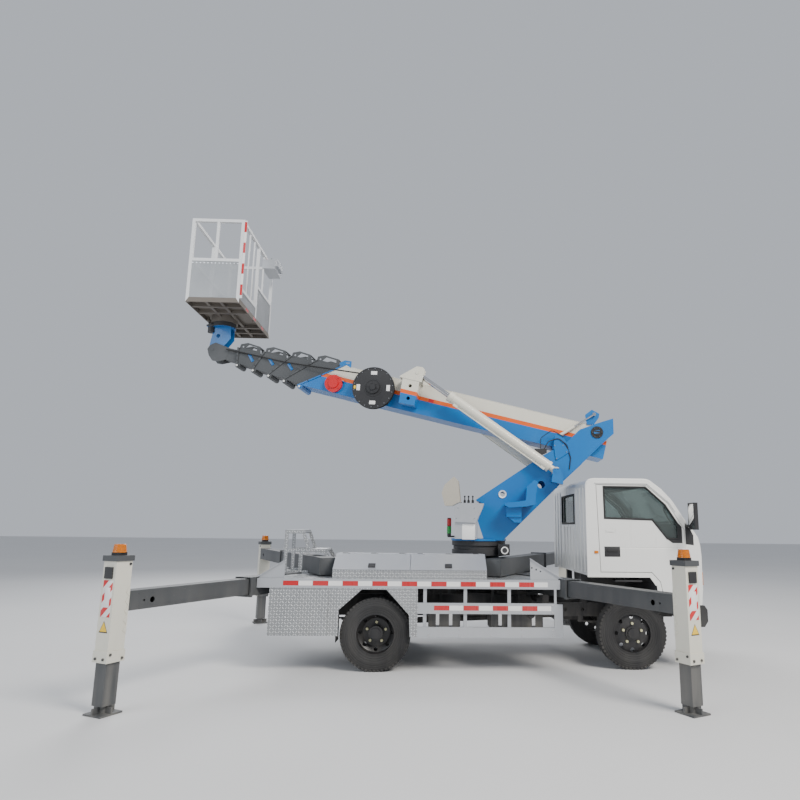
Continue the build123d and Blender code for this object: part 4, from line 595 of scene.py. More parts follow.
SURFACES = (
    # finish, material, colour or paint setting, roughness, metal, coat, chips, dust, bump, grain
    ("cab", "Cab_White", "cab_white", 0.28, 0.0, 0.5, 0.04, 0.2, 0.02, 90),
    ("azure", "Azure_Paint", "azure", 0.33, 0.0, 0.3, 0.12, 0.1, 0.05, 90),
    ("boom", "Boom_Paint", "ivory", 0.36, 0.0, 0.2, 0.1, 0.0, 0.05, 90),
    ("ivory", "Ivory_Paint", "ivory", 0.38, 0.0, 0.15, 0.2, 0.2, 0.06, 90),
    ("dark", "Dark_Paint", "dark_grey", 0.45, 0.0, 0.0, 0.3, 0.25, 0.12, 90),
    ("section", "Section_Paint", "dark_grey", 0.5, 0.0, 0.0, 0.25, 0.0, 0.1, 90),
    ("chassis", "Chassis_Paint", (0.03, 0.03, 0.033), 0.55, 0.0, 0.0, 0.2, 0.3, 0.2, 90),
    ("chequer", "Tread_Plate", (0.60, 0.61, 0.62), 0.34, 0.7, 0.0, 0.0, 0.18, 0.8, 90),
    ("sheet", "Pale_Sheet", (0.50, 0.515, 0.54), 0.36, 0.6, 0.0, 0.05, 0.12, 0.05, 90),
    ("basket_tube", "Basket_White", (0.70, 0.71, 0.72), 0.35, 0.0, 0.2, 0.1, 0.0, 0.04, 90),
    ("basket_floor", "Basket_Floor", (0.17, 0.15, 0.13), 0.6, 0.2, 0.0, 0.2, 0.0, 0.3, 90),
    ("chrome", "Chrome", (0.62, 0.62, 0.63), 0.12, 1.0, 0.0, 0.0, 0.0, 0.02, 90),
    ("rubber", "Rubber", (0.018, 0.018, 0.019), 0.72, 0.0, 0.0, 0.0, 0.1, 0.3, 160),
    ("front_tyre", "Front_Tyre", (0.02, 0.02, 0.021), 0.75, 0.0, 0.0, 0.0, 0.05, 0.7, 160),
    ("rear_tyre", "Rear_Tyre", (0.02, 0.02, 0.021), 0.75, 0.0, 0.0, 0.0, 0.05, 0.7, 160),
    ("plastic", "Black_Plastic", (0.02, 0.02, 0.022), 0.5, 0.0, 0.0, 0.0, 0.1, 0.15, 240),
    ("rim", "Rim_Black", (0.012, 0.012, 0.014), 0.35, 0.0, 0.0, 0.1, 0.08, 0.1, 90),
    ("nut", "Nut_Yellow", (0.60, 0.58, 0.36), 0.42, 0.4, 0.0, 0.1, 0.1, 0.1, 90),
    ("interior", "Interior_Grey", (0.05, 0.05, 0.055), 0.8, 0.0, 0.0, 0.0, 0.0, 0.4, 300),
    ("cloth", "Cushion_Cloth", (0.045, 0.05, 0.06), 0.9, 0.0, 0.0, 0.0, 0.0, 0.6, 420),
    ("iron", "Cast_Iron", (0.07, 0.07, 0.072), 0.62, 0.5, 0.0, 0.1, 0.4, 0.5, 120),
    ("red", "Red_Paint", (0.56, 0.004, 0.008), 0.35, 0.0, 0.2, 0.1, 0.0, 0.15, 90),
    ("white", "White_Mark", (0.80, 0.80, 0.79), 0.4, 0.0, 0.0, 0.05, 0.1, 0.03, 90),
    ("yellow", "Yellow_Mark", (0.85, 0.55, 0.03), 0.4, 0.0, 0.0, 0.05, 0.1, 0.03, 90),
    ("cover", "Cover_Beige", (0.42, 0.39, 0.33), 0.3, 0.0, 0.3, 0.0, 0.0, 0.04, 90),
    ("tape_red", "Tape_Red", (0.50, 0.004, 0.008), 0.25, 0.0, 0.6, 0.0, 0.1, 0.2, 500),
    ("mirror", "Mirror_Glass", (0.85, 0.86, 0.87), 0.04, 1.0, 0.0, 0.0, 0.0, 0.0, 90),
)
LENSES = (
    # finish, material, colour, clearness
    ("lamp", "Lamp_Clear", (0.8, 0.8, 0.8), 0.6),
    ("amber", "Lamp_Amber", (0.9, 0.26, 0.01), 0.3),
    ("lamp_red", "Lamp_Red", (0.6, 0.01, 0.01), 0.3),
    ("lamp_green", "Lamp_Green", (0.01, 0.4, 0.06), 0.3),
)


def make_finishes():
    """Fill FINISHES with every material of the truck."""
    blocks = trim().tread_blocks
    extras = {
        "cab": {"tone": 0.03},
        "boom": {"painted": boom_coat},
        "dark": {"bare": (0.3, 0.29, 0.28)},
        # Tread plate base colour: painted highlight on the lozenges and painted shade on the ground between
        # them
        "chequer": {"painted": chequer_painted_shade, "raised": chequer},
        "chrome": {"scuff": 0.1},
        "front_tyre": {"raised": tread_height(REAR_AXLE_X + WHEELBASE, AXLE_Z, blocks)},
        "rear_tyre": {"raised": tread_height(REAR_AXLE_X, AXLE_Z, blocks)},
        "mirror": {"scuff": 0.02},
    }
    for finish, name, colour, *numbers in SURFACES:
        if isinstance(colour, str):
            colour = getattr(paint(), colour)
        FINISHES[finish] = surface(name, tuple(colour), *numbers, **extras.get(finish, {}))
    for finish, name, colour, clearness in LENSES:
        FINISHES[finish] = lens_material(name, colour, clearness)
    for corner in CORNERS:
        FINISHES["chevron_" + corner] = chevron_material("Chevron_" + corner, JACKS[corner])
    FINISHES["perforated"] = perforated_material()
    FINISHES["glass"] = glass_material()


def perforated_material():
    """Silver sheet with staggered round holes, on whichever way the panel faces."""
    material, net, shader, vector = start_material("Perforated_Sheet")
    x, y, z = net.axes(vector)
    facing = net.axes(net.node("NewGeometry").outputs["True Normal"])
    endways = net.math("GREATER_THAN", net.math("ABSOLUTE", facing[0]), 0.5)
    holes = net.node("Group", node_tree=shared("Hole Grid", hole_grid_group))
    net.put(holes.inputs["Across"], net.node("Mix", ((0, endways), (2, x), (3, y))).outputs[0])
    net.put(holes.inputs["Along"], z)
    cloud = net.noise(vector, 3.0, 4.0)
    net.put(shader.inputs["Base Color"], net.mix(cloud, (0.30, 0.31, 0.32, 1), (0.44, 0.45, 0.46, 1)))
    net.put(shader.inputs["Alpha"], holes.outputs["Sheet"])
    shader.inputs["Metallic"].default_value = 0.7
    shader.inputs["Roughness"].default_value = 0.4
    return material


def chevron_material(name, place):
    """Red and white bars slanting across a jack's outward face."""
    material, net, shader, vector = start_material(name)
    across, height = position_in(net, vector, place)[1:3]
    slant = net.over(net.minus(height, across), 0.118)
    bar = net.step(net.math("PINGPONG", slant, 0.5), 0.24, 0.26)
    grime = net.step(net.noise(vector, 12.0, 4.0), 0.5, 0.9)
    bars = net.mix(bar, (0.62, 0.015, 0.02, 1), (0.78, 0.78, 0.77, 1))
    dirty = net.mix(net.times(grime, 0.3), bars, (0.3, 0.28, 0.26, 1))
    net.put(shader.inputs["Base Color"], dirty)
    shader.inputs["Roughness"].default_value = 0.35
    return material


def glass_material():
    """Green tinted safety glass with a little dust."""
    material, net, shader, vector = start_material("Window_Glass")
    smear = net.step(net.noise(vector, 6.0, 4.0), 0.45, 0.85)
    net.put(shader.inputs["Base Color"], net.mix(smear, (0.42, 0.50, 0.48, 1), (0.46, 0.53, 0.51, 1)))
    net.put(shader.inputs["Roughness"], net.plus(net.times(smear, 0.06), 0.02))
    shader.inputs["Transmission Weight"].default_value = 0.9
    shader.inputs["IOR"].default_value = 1.45
    return material


def lens_material(name, colour, clearness):
    """Ribbed lamp lens."""
    material, net, shader, vector = start_material(name)
    ribs = net.node("TexWave", (("Vector", vector), ("Scale", 40.0)), bands_direction="Z").outputs[0]
    relief = net.node("Bump", (("Strength", 0.3), ("Distance", 0.001), ("Height", ribs)))
    net.put(shader.inputs["Base Color"], net.mix(ribs, (*colour, 1), tuple(c * 0.8 for c in colour) + (1,)))
    net.put(shader.inputs["Normal"], relief.outputs[0])
    shader.inputs["Roughness"].default_value = 0.12
    shader.inputs["Transmission Weight"].default_value = clearness
    return material


# Which face of a carried-over node gets which finish

def colour_faces(node, names, rule):
    """Give each face of a node the finish whose number the rule returns for its middle, normal and area."""
    node.data.materials.clear()
    for name in names:
        node.data.materials.append(FINISHES[name])
    for face in node.data.polygons:
        face.material_index = rule(face.center, face.normal, face.area)


def single_finish(middle, normal, area):
    """Every face has the first finish."""
    return 0


def arm_faces(corner):
    """Rule of an outrigger arm: dark arm and head, ivory jack, black fittings, amber beacon."""
    back = JACKS[corner].inverted()

    def rule(middle, normal, area):
        out, across, height = back @ middle
        rise = height - HEAD_Z
        if out < -0.0755 or abs(across) > 0.09:
            return 0
        if rise > 0.0255:
            return 3
        if rise > 0.001 or (out > 0.0765 and -0.19 < rise < -0.09):
            return 2
        return 0 if rise > -0.046 else 1
    return rule


def deck_faces(middle, normal, area):
    """Deck: pale rails and beams, tread plate on top."""
    return 1 if abs(middle.z - 0.95) < 0.002 and normal.z > 0.9 else 0


def steps_faces(middle, normal, area):
    """Stairs of tread plate, struts of pale sheet."""
    return 1 if middle.y > -0.5 else 0


def locker_faces(middle, normal, area):
    """Lockers: pale sheet with a tread plate front below the lids."""
    return 1 if middle.y < -0.96 and middle.z < 1.046 else 0


def guard_faces(middle, normal, area):
    """Side guards: pale rails, tread plate round the wheel arch, rubber flaps."""
    x = middle.x - REAR_AXLE_X
    if -0.413 < x < -0.405 and 0.739 < abs(middle.y) < 0.956:
        return 2
    return 1 if x < 0.45 and abs(middle.y) > GUARD_FACE - 0.004 else 0


def turret_faces(middle, normal, area):
    """Column: azure paint, black valve, rubber hoses."""
    u, s, z = TURRET_BACK @ middle
    outside = s < -COLUMN_FACE
    if outside and VALVE_LOW[0] < u < VALVE_HIGH[0] and VALVE_LOW[1] < z < VALVE_HIGH[1]:
        return 1
    return 2 if outside and area < 3e-4 and z > 2.19 else 0


def boom_base_faces(middle, normal, area):
    """Base section: two-tone tube, azure mouth and brackets, red cap, dark reel shaft."""
    along, s, n = BOOM_BACK @ middle
    half, mouth_low, mouth_high, bottom, top = BOOM_MOUTHS[0][1:]
    mouth = along - (mouth_low + (mouth_high - mouth_low) * (n - bottom) / (top - bottom))
    outside = s < -half - 0.0005
    if outside and math.hypot(along - RED_CAP.x, n - RED_CAP.z) < 0.122:
        return 2
    if outside and math.hypot(along - REEL.x, n - REEL.z) < 0.063:
        return 3
    if mouth > -0.032 or 3.19 < along < 3.37 and n > top + 0.002 or along < 0.5 and n > top + 0.001:
        return 1
    return 0


def basket_faces(middle, normal, area):
    """Basket: white tube, perforated panels, brown-grey floor, pale control box."""
    x = middle.x - BASKET.x
    y = middle.y - BASKET.y
    rise = middle.z - BASKET_FLOOR_Z
    if rise < 0.062:
        return 2
    on_end = abs(abs(y) - (BASKET_HALF_Y - 0.006)) < 0.0025
    on_side = abs(abs(x) - (BASKET_HALF_X - 0.006)) < 0.0025
    if rise < 0.552 and (on_end or on_side):
        return 1
    on_box = x > BASKET_HALF_X + 0.001 or x > BASKET_HALF_X - 0.031 and 0.24 < y < 0.64 and rise < 1.035
    return 3 if on_box and rise > 0.885 and y > 0.2 else 0


def bracket_faces(middle, normal, area):
    """Basket bracket: azure cheeks, black ring and motor."""
    motor = BASKET - BASKET_OFFSET + AFT * 0.150 - BEAM * 0.060
    on_motor = math.hypot(middle.x - motor.x, middle.y - motor.y) < 0.0465 and middle.z > 4.03
    return 1 if on_motor or middle.z > 4.111 else 0


def cab_faces(middle, normal, area):
    """Cab shell: white outside, grey inside, dark underside and grille."""
    centre = Vector((REAR_AXLE_X + 2.95, 0, 1.5))
    x = middle.x - REAR_AXLE_X
    if x > 3.52 and abs(middle.y) < 0.425 and 1.075 < middle.z < 1.27 and abs(normal.z) > 0.5:
        return 2
    if normal.z < -0.5 and middle.z < 1.1:
        return 2
    if abs(middle.y) < 0.8355 and normal.dot(middle - centre) < 0 and 2.335 < x < 3.53:
        return 1
    return 0


def door_faces(side):
    """Rule of a door: white skin, grey lining."""
    def rule(middle, normal, area):
        return 1 if normal.y * side < -0.5 or abs(middle.y) < 0.834 else 0
    return rule


def lid_faces(middle, normal, area):
    """Locker lid: pale sheet, black latch and hinges."""
    lift = (middle.y + LID_EDGE[0]) * -LID_RUN[1] + (middle.z - LID_EDGE[1]) * LID_RUN[0]
    return 1 if lift > 0.0096 else 0


def rim_faces(axle_x, face):
    """Rule of a rim: black, pale yellow nuts that stand on a face."""
    def rule(middle, normal, area):
        radius = math.hypot(middle.x - axle_x, middle.z - AXLE_Z)
        return 1 if 0.0905 < radius < 0.1195 and face < abs(middle.y) < face + 0.03 else 0
    return rule


def control_faces(middle, normal, area):
    """Control box: pale sheet with black levers and tower."""
    u, s, z = TURRET_BACK @ middle
    return 1 if z > 1.7815 or u > 0.275 else 0


def lamp_faces(middle, normal, area):
    """Lamps: red ones at the rear and clear ones at the front."""
    return 1 if middle.x > 0 else 0


PLAIN_NODES = (
    # start of the node's name, finish
    ("chassis_frame", "chassis"), ("toolbox", "chequer"), ("tanks", "iron"), ("deck_posts", "dark"),
    ("outrigger_housings", "dark"), ("jack_leg", "dark"), ("slew_base", "chassis"),
    ("control_cover", "cover"), ("boom_section", "section"), ("lift_barrels", "ivory"),
    ("lift_rods", "chrome"), ("level_barrel", "ivory"), ("level_rod", "chrome"), ("cable_reel", "plastic"),
    ("cab_interior", "interior"), ("bumper", "plastic"), ("mirrors", "plastic"), ("engine", "iron"),
    ("front_axle", "chassis"), ("rear_axle", "chassis"), ("knuckle", "chassis"), ("tyre_front", "front_tyre"),
    ("tyre_rear", "rear_tyre"), ("door_glass", "glass"), ("cab_glass", "glass"),
)
FACED_NODES = (
    # start of the node's name, finishes, rule
    ("deck_steps", ("sheet", "chequer"), steps_faces),
    ("deck", ("sheet", "chequer"), deck_faces),
    ("lockers", ("sheet", "chequer"), locker_faces),
    ("side_guards", ("sheet", "chequer", "rubber"), guard_faces),
    ("turret_column", ("azure", "plastic", "rubber"), turret_faces),
    ("control_box", ("sheet", "plastic"), control_faces),
    ("boom_base", ("boom", "azure", "red", "dark"), boom_base_faces),
    ("basket_bracket", ("azure", "chassis"), bracket_faces),
    ("basket", ("basket_tube", "perforated", "basket_floor", "sheet"), basket_faces),
    ("cab_shell", ("cab", "interior", "chassis"), cab_faces),
    ("door_right", ("cab", "interior"), door_faces(-1)),
    ("door_left", ("cab", "interior"), door_faces(1)),
    ("lamps", ("lamp_red", "lamp"), lamp_faces),
    ("locker_lid", ("sheet", "plastic"), lid_faces),
    ("rim_front", ("rim", "nut"), rim_faces(REAR_AXLE_X + WHEELBASE, 0.7537)),
    ("rim_rear", ("rim", "nut"), rim_faces(REAR_AXLE_X, 0.7455)),
) + tuple(("outrigger_arm_" + corner, ("dark", "ivory", "plastic", "amber"), arm_faces(corner))
          for corner in CORNERS)


class TRUCK_OT_finishes(bpy.types.Operator):
    """Give every carried-over node its finishes, face by face where it has several"""

    bl_idname = "truck.finishes"
    bl_label = "Finishes"

    def execute(self, context):
        make_finishes()
        for name, node in frame["nodes"].items():
            plain = [finish for start, finish in PLAIN_NODES if name.startswith(start)]
            faced = [(finishes, rule) for start, finishes, rule in FACED_NODES if name.startswith(start)]
            if plain:
                colour_faces(node, plain[:1], single_finish)
            elif faced:
                colour_faces(node, *faced[0])
            else:
                raise RuntimeError("no finish for node " + name)
        return {"FINISHED"}


class TRUCK_OT_deck_trim(bpy.types.Operator):
    """Reflective tape, bolts, tank straps and filler along the deck and its guards"""

    bl_idname = "truck.deck_trim"
    bl_label = "Deck trim"

    def execute(self, context):
        step = trim().tape_step
        length = trim().tape_length
        red = bmesh.new()
        white = bmesh.new()
        bolts = []
        for _, side in SIDES:
            out = Vector((0, side, 0))
            near, far = sorted((side * GUARD_FACE, side * (GUARD_FACE + 0.0017)))
            # Station of the first bar, number of bars, lower and upper edge
            for first, count, low, high in ((-0.980, 9, 0.877, 0.926), (0.617, 4, 0.632, 0.681)):
                for k in range(count):
                    x = first + k * step
                    block(red, TRUCK, (x, near, low), (x + length, far, high))
                    block(white, TRUCK, (x + length, near, low), (x + step - 0.004, far, high))
            for x in [0.56 + 0.33 * k for k in range(5)]:
                for z in (0.385, 0.44, 0.615, 0.69):
                    bolts.append((spot(TRUCK, x, side * (GUARD_FACE - 0.0005), z), out * 0.006, 0.008))
            for x, z in ((-0.38, 0.80), (-0.38, 0.66), (0.40, 0.80), (0.40, 0.60), (0.0, 0.853)):
                bolts.append((spot(TRUCK, x, side * GUARD_FACE, z), out * 0.005, 0.009))
        finish_piece(red, "tape_red_bars", "chassis", "tape_red")
        finish_piece(white, "tape_white_bars", "chassis", "white")
        stud_piece("guard_bolts", "chassis", "chrome", bolts)
        ring = [(SLEW + Vector((x, y, 1.238)), UP * 0.014, 0.012) for x, y in circle(24, 0.300)]
        stud_piece("ring_bolts", "chassis", "iron", ring)
        straps = bmesh.new()
        # Ends, bottom and top of the tank and of the air vessel
        for first, last, low, high in ((1.23, 1.79, 0.42, 0.64), (0.56, 0.90, 0.43, 0.62)):
            for x in (first + 0.08, last - 0.12):
                for z in (low - 0.004, high - 0.002):
                    block(straps, TRUCK, (x, -0.904, z), (x + 0.035, -0.501, z + 0.006))
                block(straps, TRUCK, (x, -0.904, low), (x + 0.035, -0.898, high))
        finish_piece(straps, "tank_straps", "chassis", "chrome")
        filler = bmesh.new()
        rod(filler, spot(TRUCK, 1.66, -0.90, 0.575), Vector((0, -0.03, 0.012)), 0.035, segments=32)
        rod(filler, spot(TRUCK, 1.66, -0.924, 0.585), Vector((0, -0.016, 0.006)), 0.040, segments=12)
        finish_piece(filler, "tank_filler", "chassis", "plastic", bevel=0.002)
        return {"FINISHED"}


class TRUCK_OT_jack_trim(bpy.types.Operator):
    """Chevron plates, blank labels, triangles, bolts, caps, beacon ribs and runners of the outriggers"""

    bl_idname = "truck.jack_trim"
    bl_label = "Jack trim"

    def execute(self, context):
        for corner in CORNERS:
            place = JACKS[corner]
            out = place.to_3x3() @ Vector((1, 0, 0))
            across = place.to_3x3() @ Vector((0, 1, 0))
            body = "arm_" + corner
            arm_z = ARM_Z[corner.split("_")[1]]
            box_piece("chevron_" + corner, body, "chevron_" + corner, place,
                      (JACK_FACE, -0.054, 0.752), (JACK_FACE + 0.002, 0.054, 1.042), bevel=0.0006)
            bolts = []
            for side in (-1, 1):
                for x, half, height in ((-0.055, COLLAR_FACE, COLLAR_Z + 0.025),
                                        (0.055, COLLAR_FACE, COLLAR_Z + 0.065),
                                        (-0.055, JACK_FACE, HEAD_Z - 0.07)):
                    bolts.append((spot(place, x, side * half, height), across * side * 0.010, 0.011))
            for y in (-0.045, 0.045):
                bolts.append((spot(place, COLLAR_FACE, y, COLLAR_Z + 0.03), out * 0.010, 0.011))
            stud_piece("jack_bolts_" + corner, body, "iron", bolts)
            box_piece("blank_label_" + corner, body, "white", place,
                      (0.0760, -0.026, 0.828), (0.0774, 0.034, 0.985), bevel=0.0005)
            flat = place @ Matrix.Translation((0, 0, 0.675)) @ Matrix.Rotation(math.pi / 2, 4, "Z")
            for name, size, near, finish in (("triangle_edge_", 0.050, 0.0746, "plastic"),
                                             ("triangle_", 0.040, 0.0758, "yellow")):
                outline = ((-size, -size * 0.9), (size, -size * 0.9), (0.0, size * 0.95))
                plate_piece(name + corner, body, finish, flat, outline, -near, -near - 0.0012)
            cap = bmesh.new()
            block(cap, place, (-3.4035, -0.090, arm_z - 0.091), (-3.4005, 0.090, arm_z + 0.091))
            for y in (-0.075, 0.075):
                for z in (-0.075, 0.075):
                    rod(cap, spot(place, -3.4030, y, arm_z + z), out * -0.005, 0.008, segments=6)
            finish_piece(cap, "housing_cap_" + corner, "chassis", "dark", bevel=0.0006)
            ribs = bmesh.new()
            for k in range(5):
                radius = 0.0552 - 0.0019 * k
                outline = ((0.0, radius - 0.004), (0.002, radius), (0.006, radius), (0.008, radius - 0.004))
                lathe(ribs, spot(place, 0, 0, HEAD_Z + 0.036 + 0.012 * k), UP, outline, segments=32)
            finish_piece(ribs, "beacon_ribs_" + corner, body, "amber")
            rails = bmesh.new()
            for side in (-1, 1):
                for z in (-0.052, 0.052):
                    block(rails, place, (-1.35, side * 0.0752 - 0.0012, arm_z + z - 0.004),
                          (-0.16, side * 0.0752 + 0.0012, arm_z + z + 0.004))
            finish_piece(rails, "arm_runners_" + corner, body, "dark")
        return {"FINISHED"}


class TRUCK_OT_turret_trim(bpy.types.Operator):
    """Signal lamps, lever boots, cabinet plate, fasteners, plug, welds and motor ring of the turret"""

    bl_idname = "truck.turret_trim"
    bl_label = "Turret trim"

    def execute(self, context):
        tower = spot(TURRET, 0.343, -0.330, 0)
        for finish, low, high in (("red", 1.515, 1.598), ("green", 1.425, 1.505)):
            lens = bmesh.new()
            sleeve = ((low, 0.0229), (low, 0.0252), (high, 0.0252), (high, 0.0229))
            lathe(lens, tower, UP, sleeve, segments=32)
            rib = ((0.0, 0.0250), (0.002, 0.0262), (0.006, 0.0262), (0.008, 0.0250))
            for k in range(5):
                lathe(lens, tower + UP * (low + 0.010 + 0.014 * k), UP, rib, segments=32)
            finish_piece(lens, "tower_" + finish, "turret", "lamp_" + finish)
        boots = bmesh.new()
        for u, s in ((0.06, -0.44), (0.06, -0.40), (0.11, -0.44), (0.11, -0.40), (0.155, -0.42)):
            foot = spot(TURRET, u, s, 1.80)
            ball(boots, foot + UP * 0.058, 0.011)
            for k in range(3):
                wide = 0.0165 - 0.002 * k
                fold = ((0.0, 0.010), (0.002, wide), (0.004, wide), (0.006, 0.010))
                lathe(boots, foot + UP * 0.006 * k, UP, fold, segments=20)
        finish_piece(boots, "lever_boots", "turret", "rubber")
        outline = ((0.032, 1.36), (0.181, 1.36), (0.181, 1.537), (0.032, 1.537))
        plate_piece("cabinet_plate", "turret", "white", TURRET, outline, -0.4715, -0.4695, bevel=0.0006)
        screws = bmesh.new()
        for near, spots in ((-0.4695, ((0.022, 1.385), (0.255, 1.385), (0.022, 1.56), (0.255, 1.56))),
                            (-0.4995, ((0.04, 1.72), (0.23, 1.72), (0.04, 1.60), (0.25, 1.60)))):
            for u, z in spots:
                rod(screws, spot(TURRET, u, near, z), BEAM * -0.004, 0.006, segments=12)
        for u, z in ((-0.93, 2.49), (-1.03, 2.49), (-1.07, 2.41), (-0.95, 2.33)):
            rod(screws, spot(TURRET, u, -0.2815, z), BEAM * -0.004, 0.007, segments=6)
        finish_piece(screws, "panel_screws", "turret", "chrome")
        for name, side in SIDES:
            bolts = [(spot(TURRET, -1.444 + u, side * 0.2775, 2.653 + z), BEAM * side * 0.008, 0.009)
                     for u, z in circle(6, 0.058)]
            stud_piece("pivot_bolts_" + name, "turret", "iron", bolts)
        plug = bmesh.new()
        outline = ((0.0, 0.030), (0.004, 0.034), (0.008, 0.045), (0.0, 0.049), (-0.006, 0.0445),
                   (-0.006, 0.028))
        lathe(plug, spot(TURRET, -0.293, -0.272, 1.895), -BEAM, outline, segments=40)
        finish_piece(plug, "column_plug", "turret", "white")
        welds = bmesh.new()
        for side in (-1, 1):
            edge = ((-0.30, 1.372), (-0.975, 2.03), (-1.12, 2.165), (-1.53, 2.555))
            tube(welds, route(TURRET, [(u, side * COLUMN_FACE, z) for u, z in edge]), 0.003, segments=6)
        finish_piece(welds, "column_welds", "turret", "azure")
        ring = bmesh.new()
        outline = ((0.0, 0.030), (0.0035, 0.030), (0.0035, 0.042), (0.0, 0.042))
        lathe(ring, spot(TURRET, -0.313, -0.505, 1.242), -BEAM, outline, segments=40)
        finish_piece(ring, "motor_ring", "chassis", "white")
        return {"FINISHED"}


class TRUCK_OT_boom_trim(bpy.types.Operator):
    """Nuts, bolts, clamps, patch, welds and cable of the boom, dress of its reel, lift barrel glands"""

    bl_idname = "truck.boom_trim"
    bl_label = "Boom trim"

    def mouths(self):
        """Nuts and bolts round the mouth of each section, and the hose clamps."""
        for body, half, mouth_low, mouth_high, bottom, top in BOOM_MOUTHS:
            nuts = bmesh.new()
            bolts = []
            for side in (-1, 1):
                outline = ((0.0, 0.002), (0.006, 0.002), (0.008, 0.009), (0.004, 0.014), (0.0, 0.014))
                nut = spot(BOOM, mouth_low - 0.028, side * (half + 0.0245), bottom - 0.026)
                lathe(nuts, nut, BEAM * side, outline, segments=24)
                for share in (0.2, 0.5, 0.8):
                    along = mouth_low + (mouth_high - mouth_low) * share - 0.013
                    bolt = spot(BOOM, along, side * (half + 0.0105), bottom + share * (top - bottom))
                    bolts.append((bolt, BEAM * side * 0.006, 0.008))
            finish_piece(nuts, "mouth_nuts_" + body, body, "white")
            stud_piece("mouth_bolts_" + body, body, "iron", bolts)
        for body, upper, lower, half in CLAMPS:
            clamp = bmesh.new()
            first = Vector((upper[0], 0, upper[1]))
            second = Vector((lower[0], 0, lower[1]))
            aside = Vector((0, -1, 0)).cross(second - first).normalized() * 0.018
            corners = (first + aside, second + aside, second - aside, first - aside)
            plate(clamp, BOOM, [(corner.x, corner.z) for corner in corners], -half - 0.007, -half + 0.001)
            for end in (first, second):
                inner = end * 0.75 + (first + second) * 0.125
                rod(clamp, spot(BOOM, inner.x, -half - 0.006, inner.z), BEAM * -0.006, 0.006, segments=6)
            finish_piece(clamp, "hose_clamp_" + body, body, "azure", bevel=0.001)

    def reel(self):
        """Labels, mark, bolts and wound cable of the reel."""
        def on_disc(turn, radius):
            """Place on the reel's outer disc, turned round its middle."""
            turned = BOOM @ Matrix.Translation(REEL) @ Matrix.Rotation(turn, 4, "Y")
            return turned @ Matrix.Translation((radius, 0, 0))

        labels = bmesh.new()
        for k in range(4):
            place = on_disc(0.21 - math.tau * k / 4, 0.19)
            block(labels, place, (-0.022, 0.0018, -0.038), (0.022, 0.0048, 0.038))
        finish_piece(labels, "reel_labels", "cable_reel", "white", bevel=0.0006)
        box_piece("reel_mark", "cable_reel", "yellow", on_disc(0.2, 0.235),
                  (-0.012, 0.0018, -0.02), (0.012, 0.0048, 0.02), bevel=0.0006)
        bolts = [(BOOM @ (REEL + Vector((x, 0.004, z))), BEAM * -0.006, 0.006) for x, z in circle(18, 0.245)]
        stud_piece("reel_bolts", "cable_reel", "chrome", bolts)
        cable = bmesh.new()
        outline = [(a, 0.171 + r) for a, r in circle(10, 0.009)]
        for k in range(3):
            lathe(cable, BOOM @ (REEL + Vector((0, 0.021 + 0.018 * k, 0))), BEAM, outline, segments=64)
        finish_piece(cable, "reel_cable", "cable_reel", "rubber")

    def execute(self, context):
        self.mouths()
        outline = ((2.05, -0.111), (2.115, -0.111), (2.115, -0.070), (2.05, -0.070))
        plate_piece("stripe_patch", "boom_base", "red", BOOM, outline, -0.1915, -0.1895)
        self.reel()
        for k, (first, last) in enumerate(zip(CABLE_RUN[:-1], CABLE_RUN[1:])):
            start, end = route(BOOM, (first, last))
            points = [start.lerp(end, i / 12) for i in range(13)]
            piece = tube_piece("boom_cable_" + str(k + 1), None, "rubber", points, 0.009, closed=False)
            tuple(start)
            tuple(end)
            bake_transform(piece)
        welds = bmesh.new()
        for side in (-1, 1):
            for n in (0.0885, -0.2885):
                tube(welds, route(BOOM, [(a, side * 0.1895, n) for a in (-0.14, 3.25)]), 0.003, segments=6)
        finish_piece(welds, "boom_welds", "boom_base", "boom")
        glands = bmesh.new()
        lift = Vector(joint("lift_rod_slide")["axis"])
        foot = Vector(joint("lift_barrel_swing")["pos_m"])
        outline = ((0.0, 0.0325), (0.0, 0.066), (0.014, 0.062), (0.018, 0.040), (0.018, 0.0325))
        for side in (-1, 1):
            lathe(glands, foot + BEAM * side * 0.35 + lift * 1.578, lift, outline, segments=48)
        finish_piece(glands, "barrel_glands", "lift_barrels", "dark")
        return {"FINISHED"}


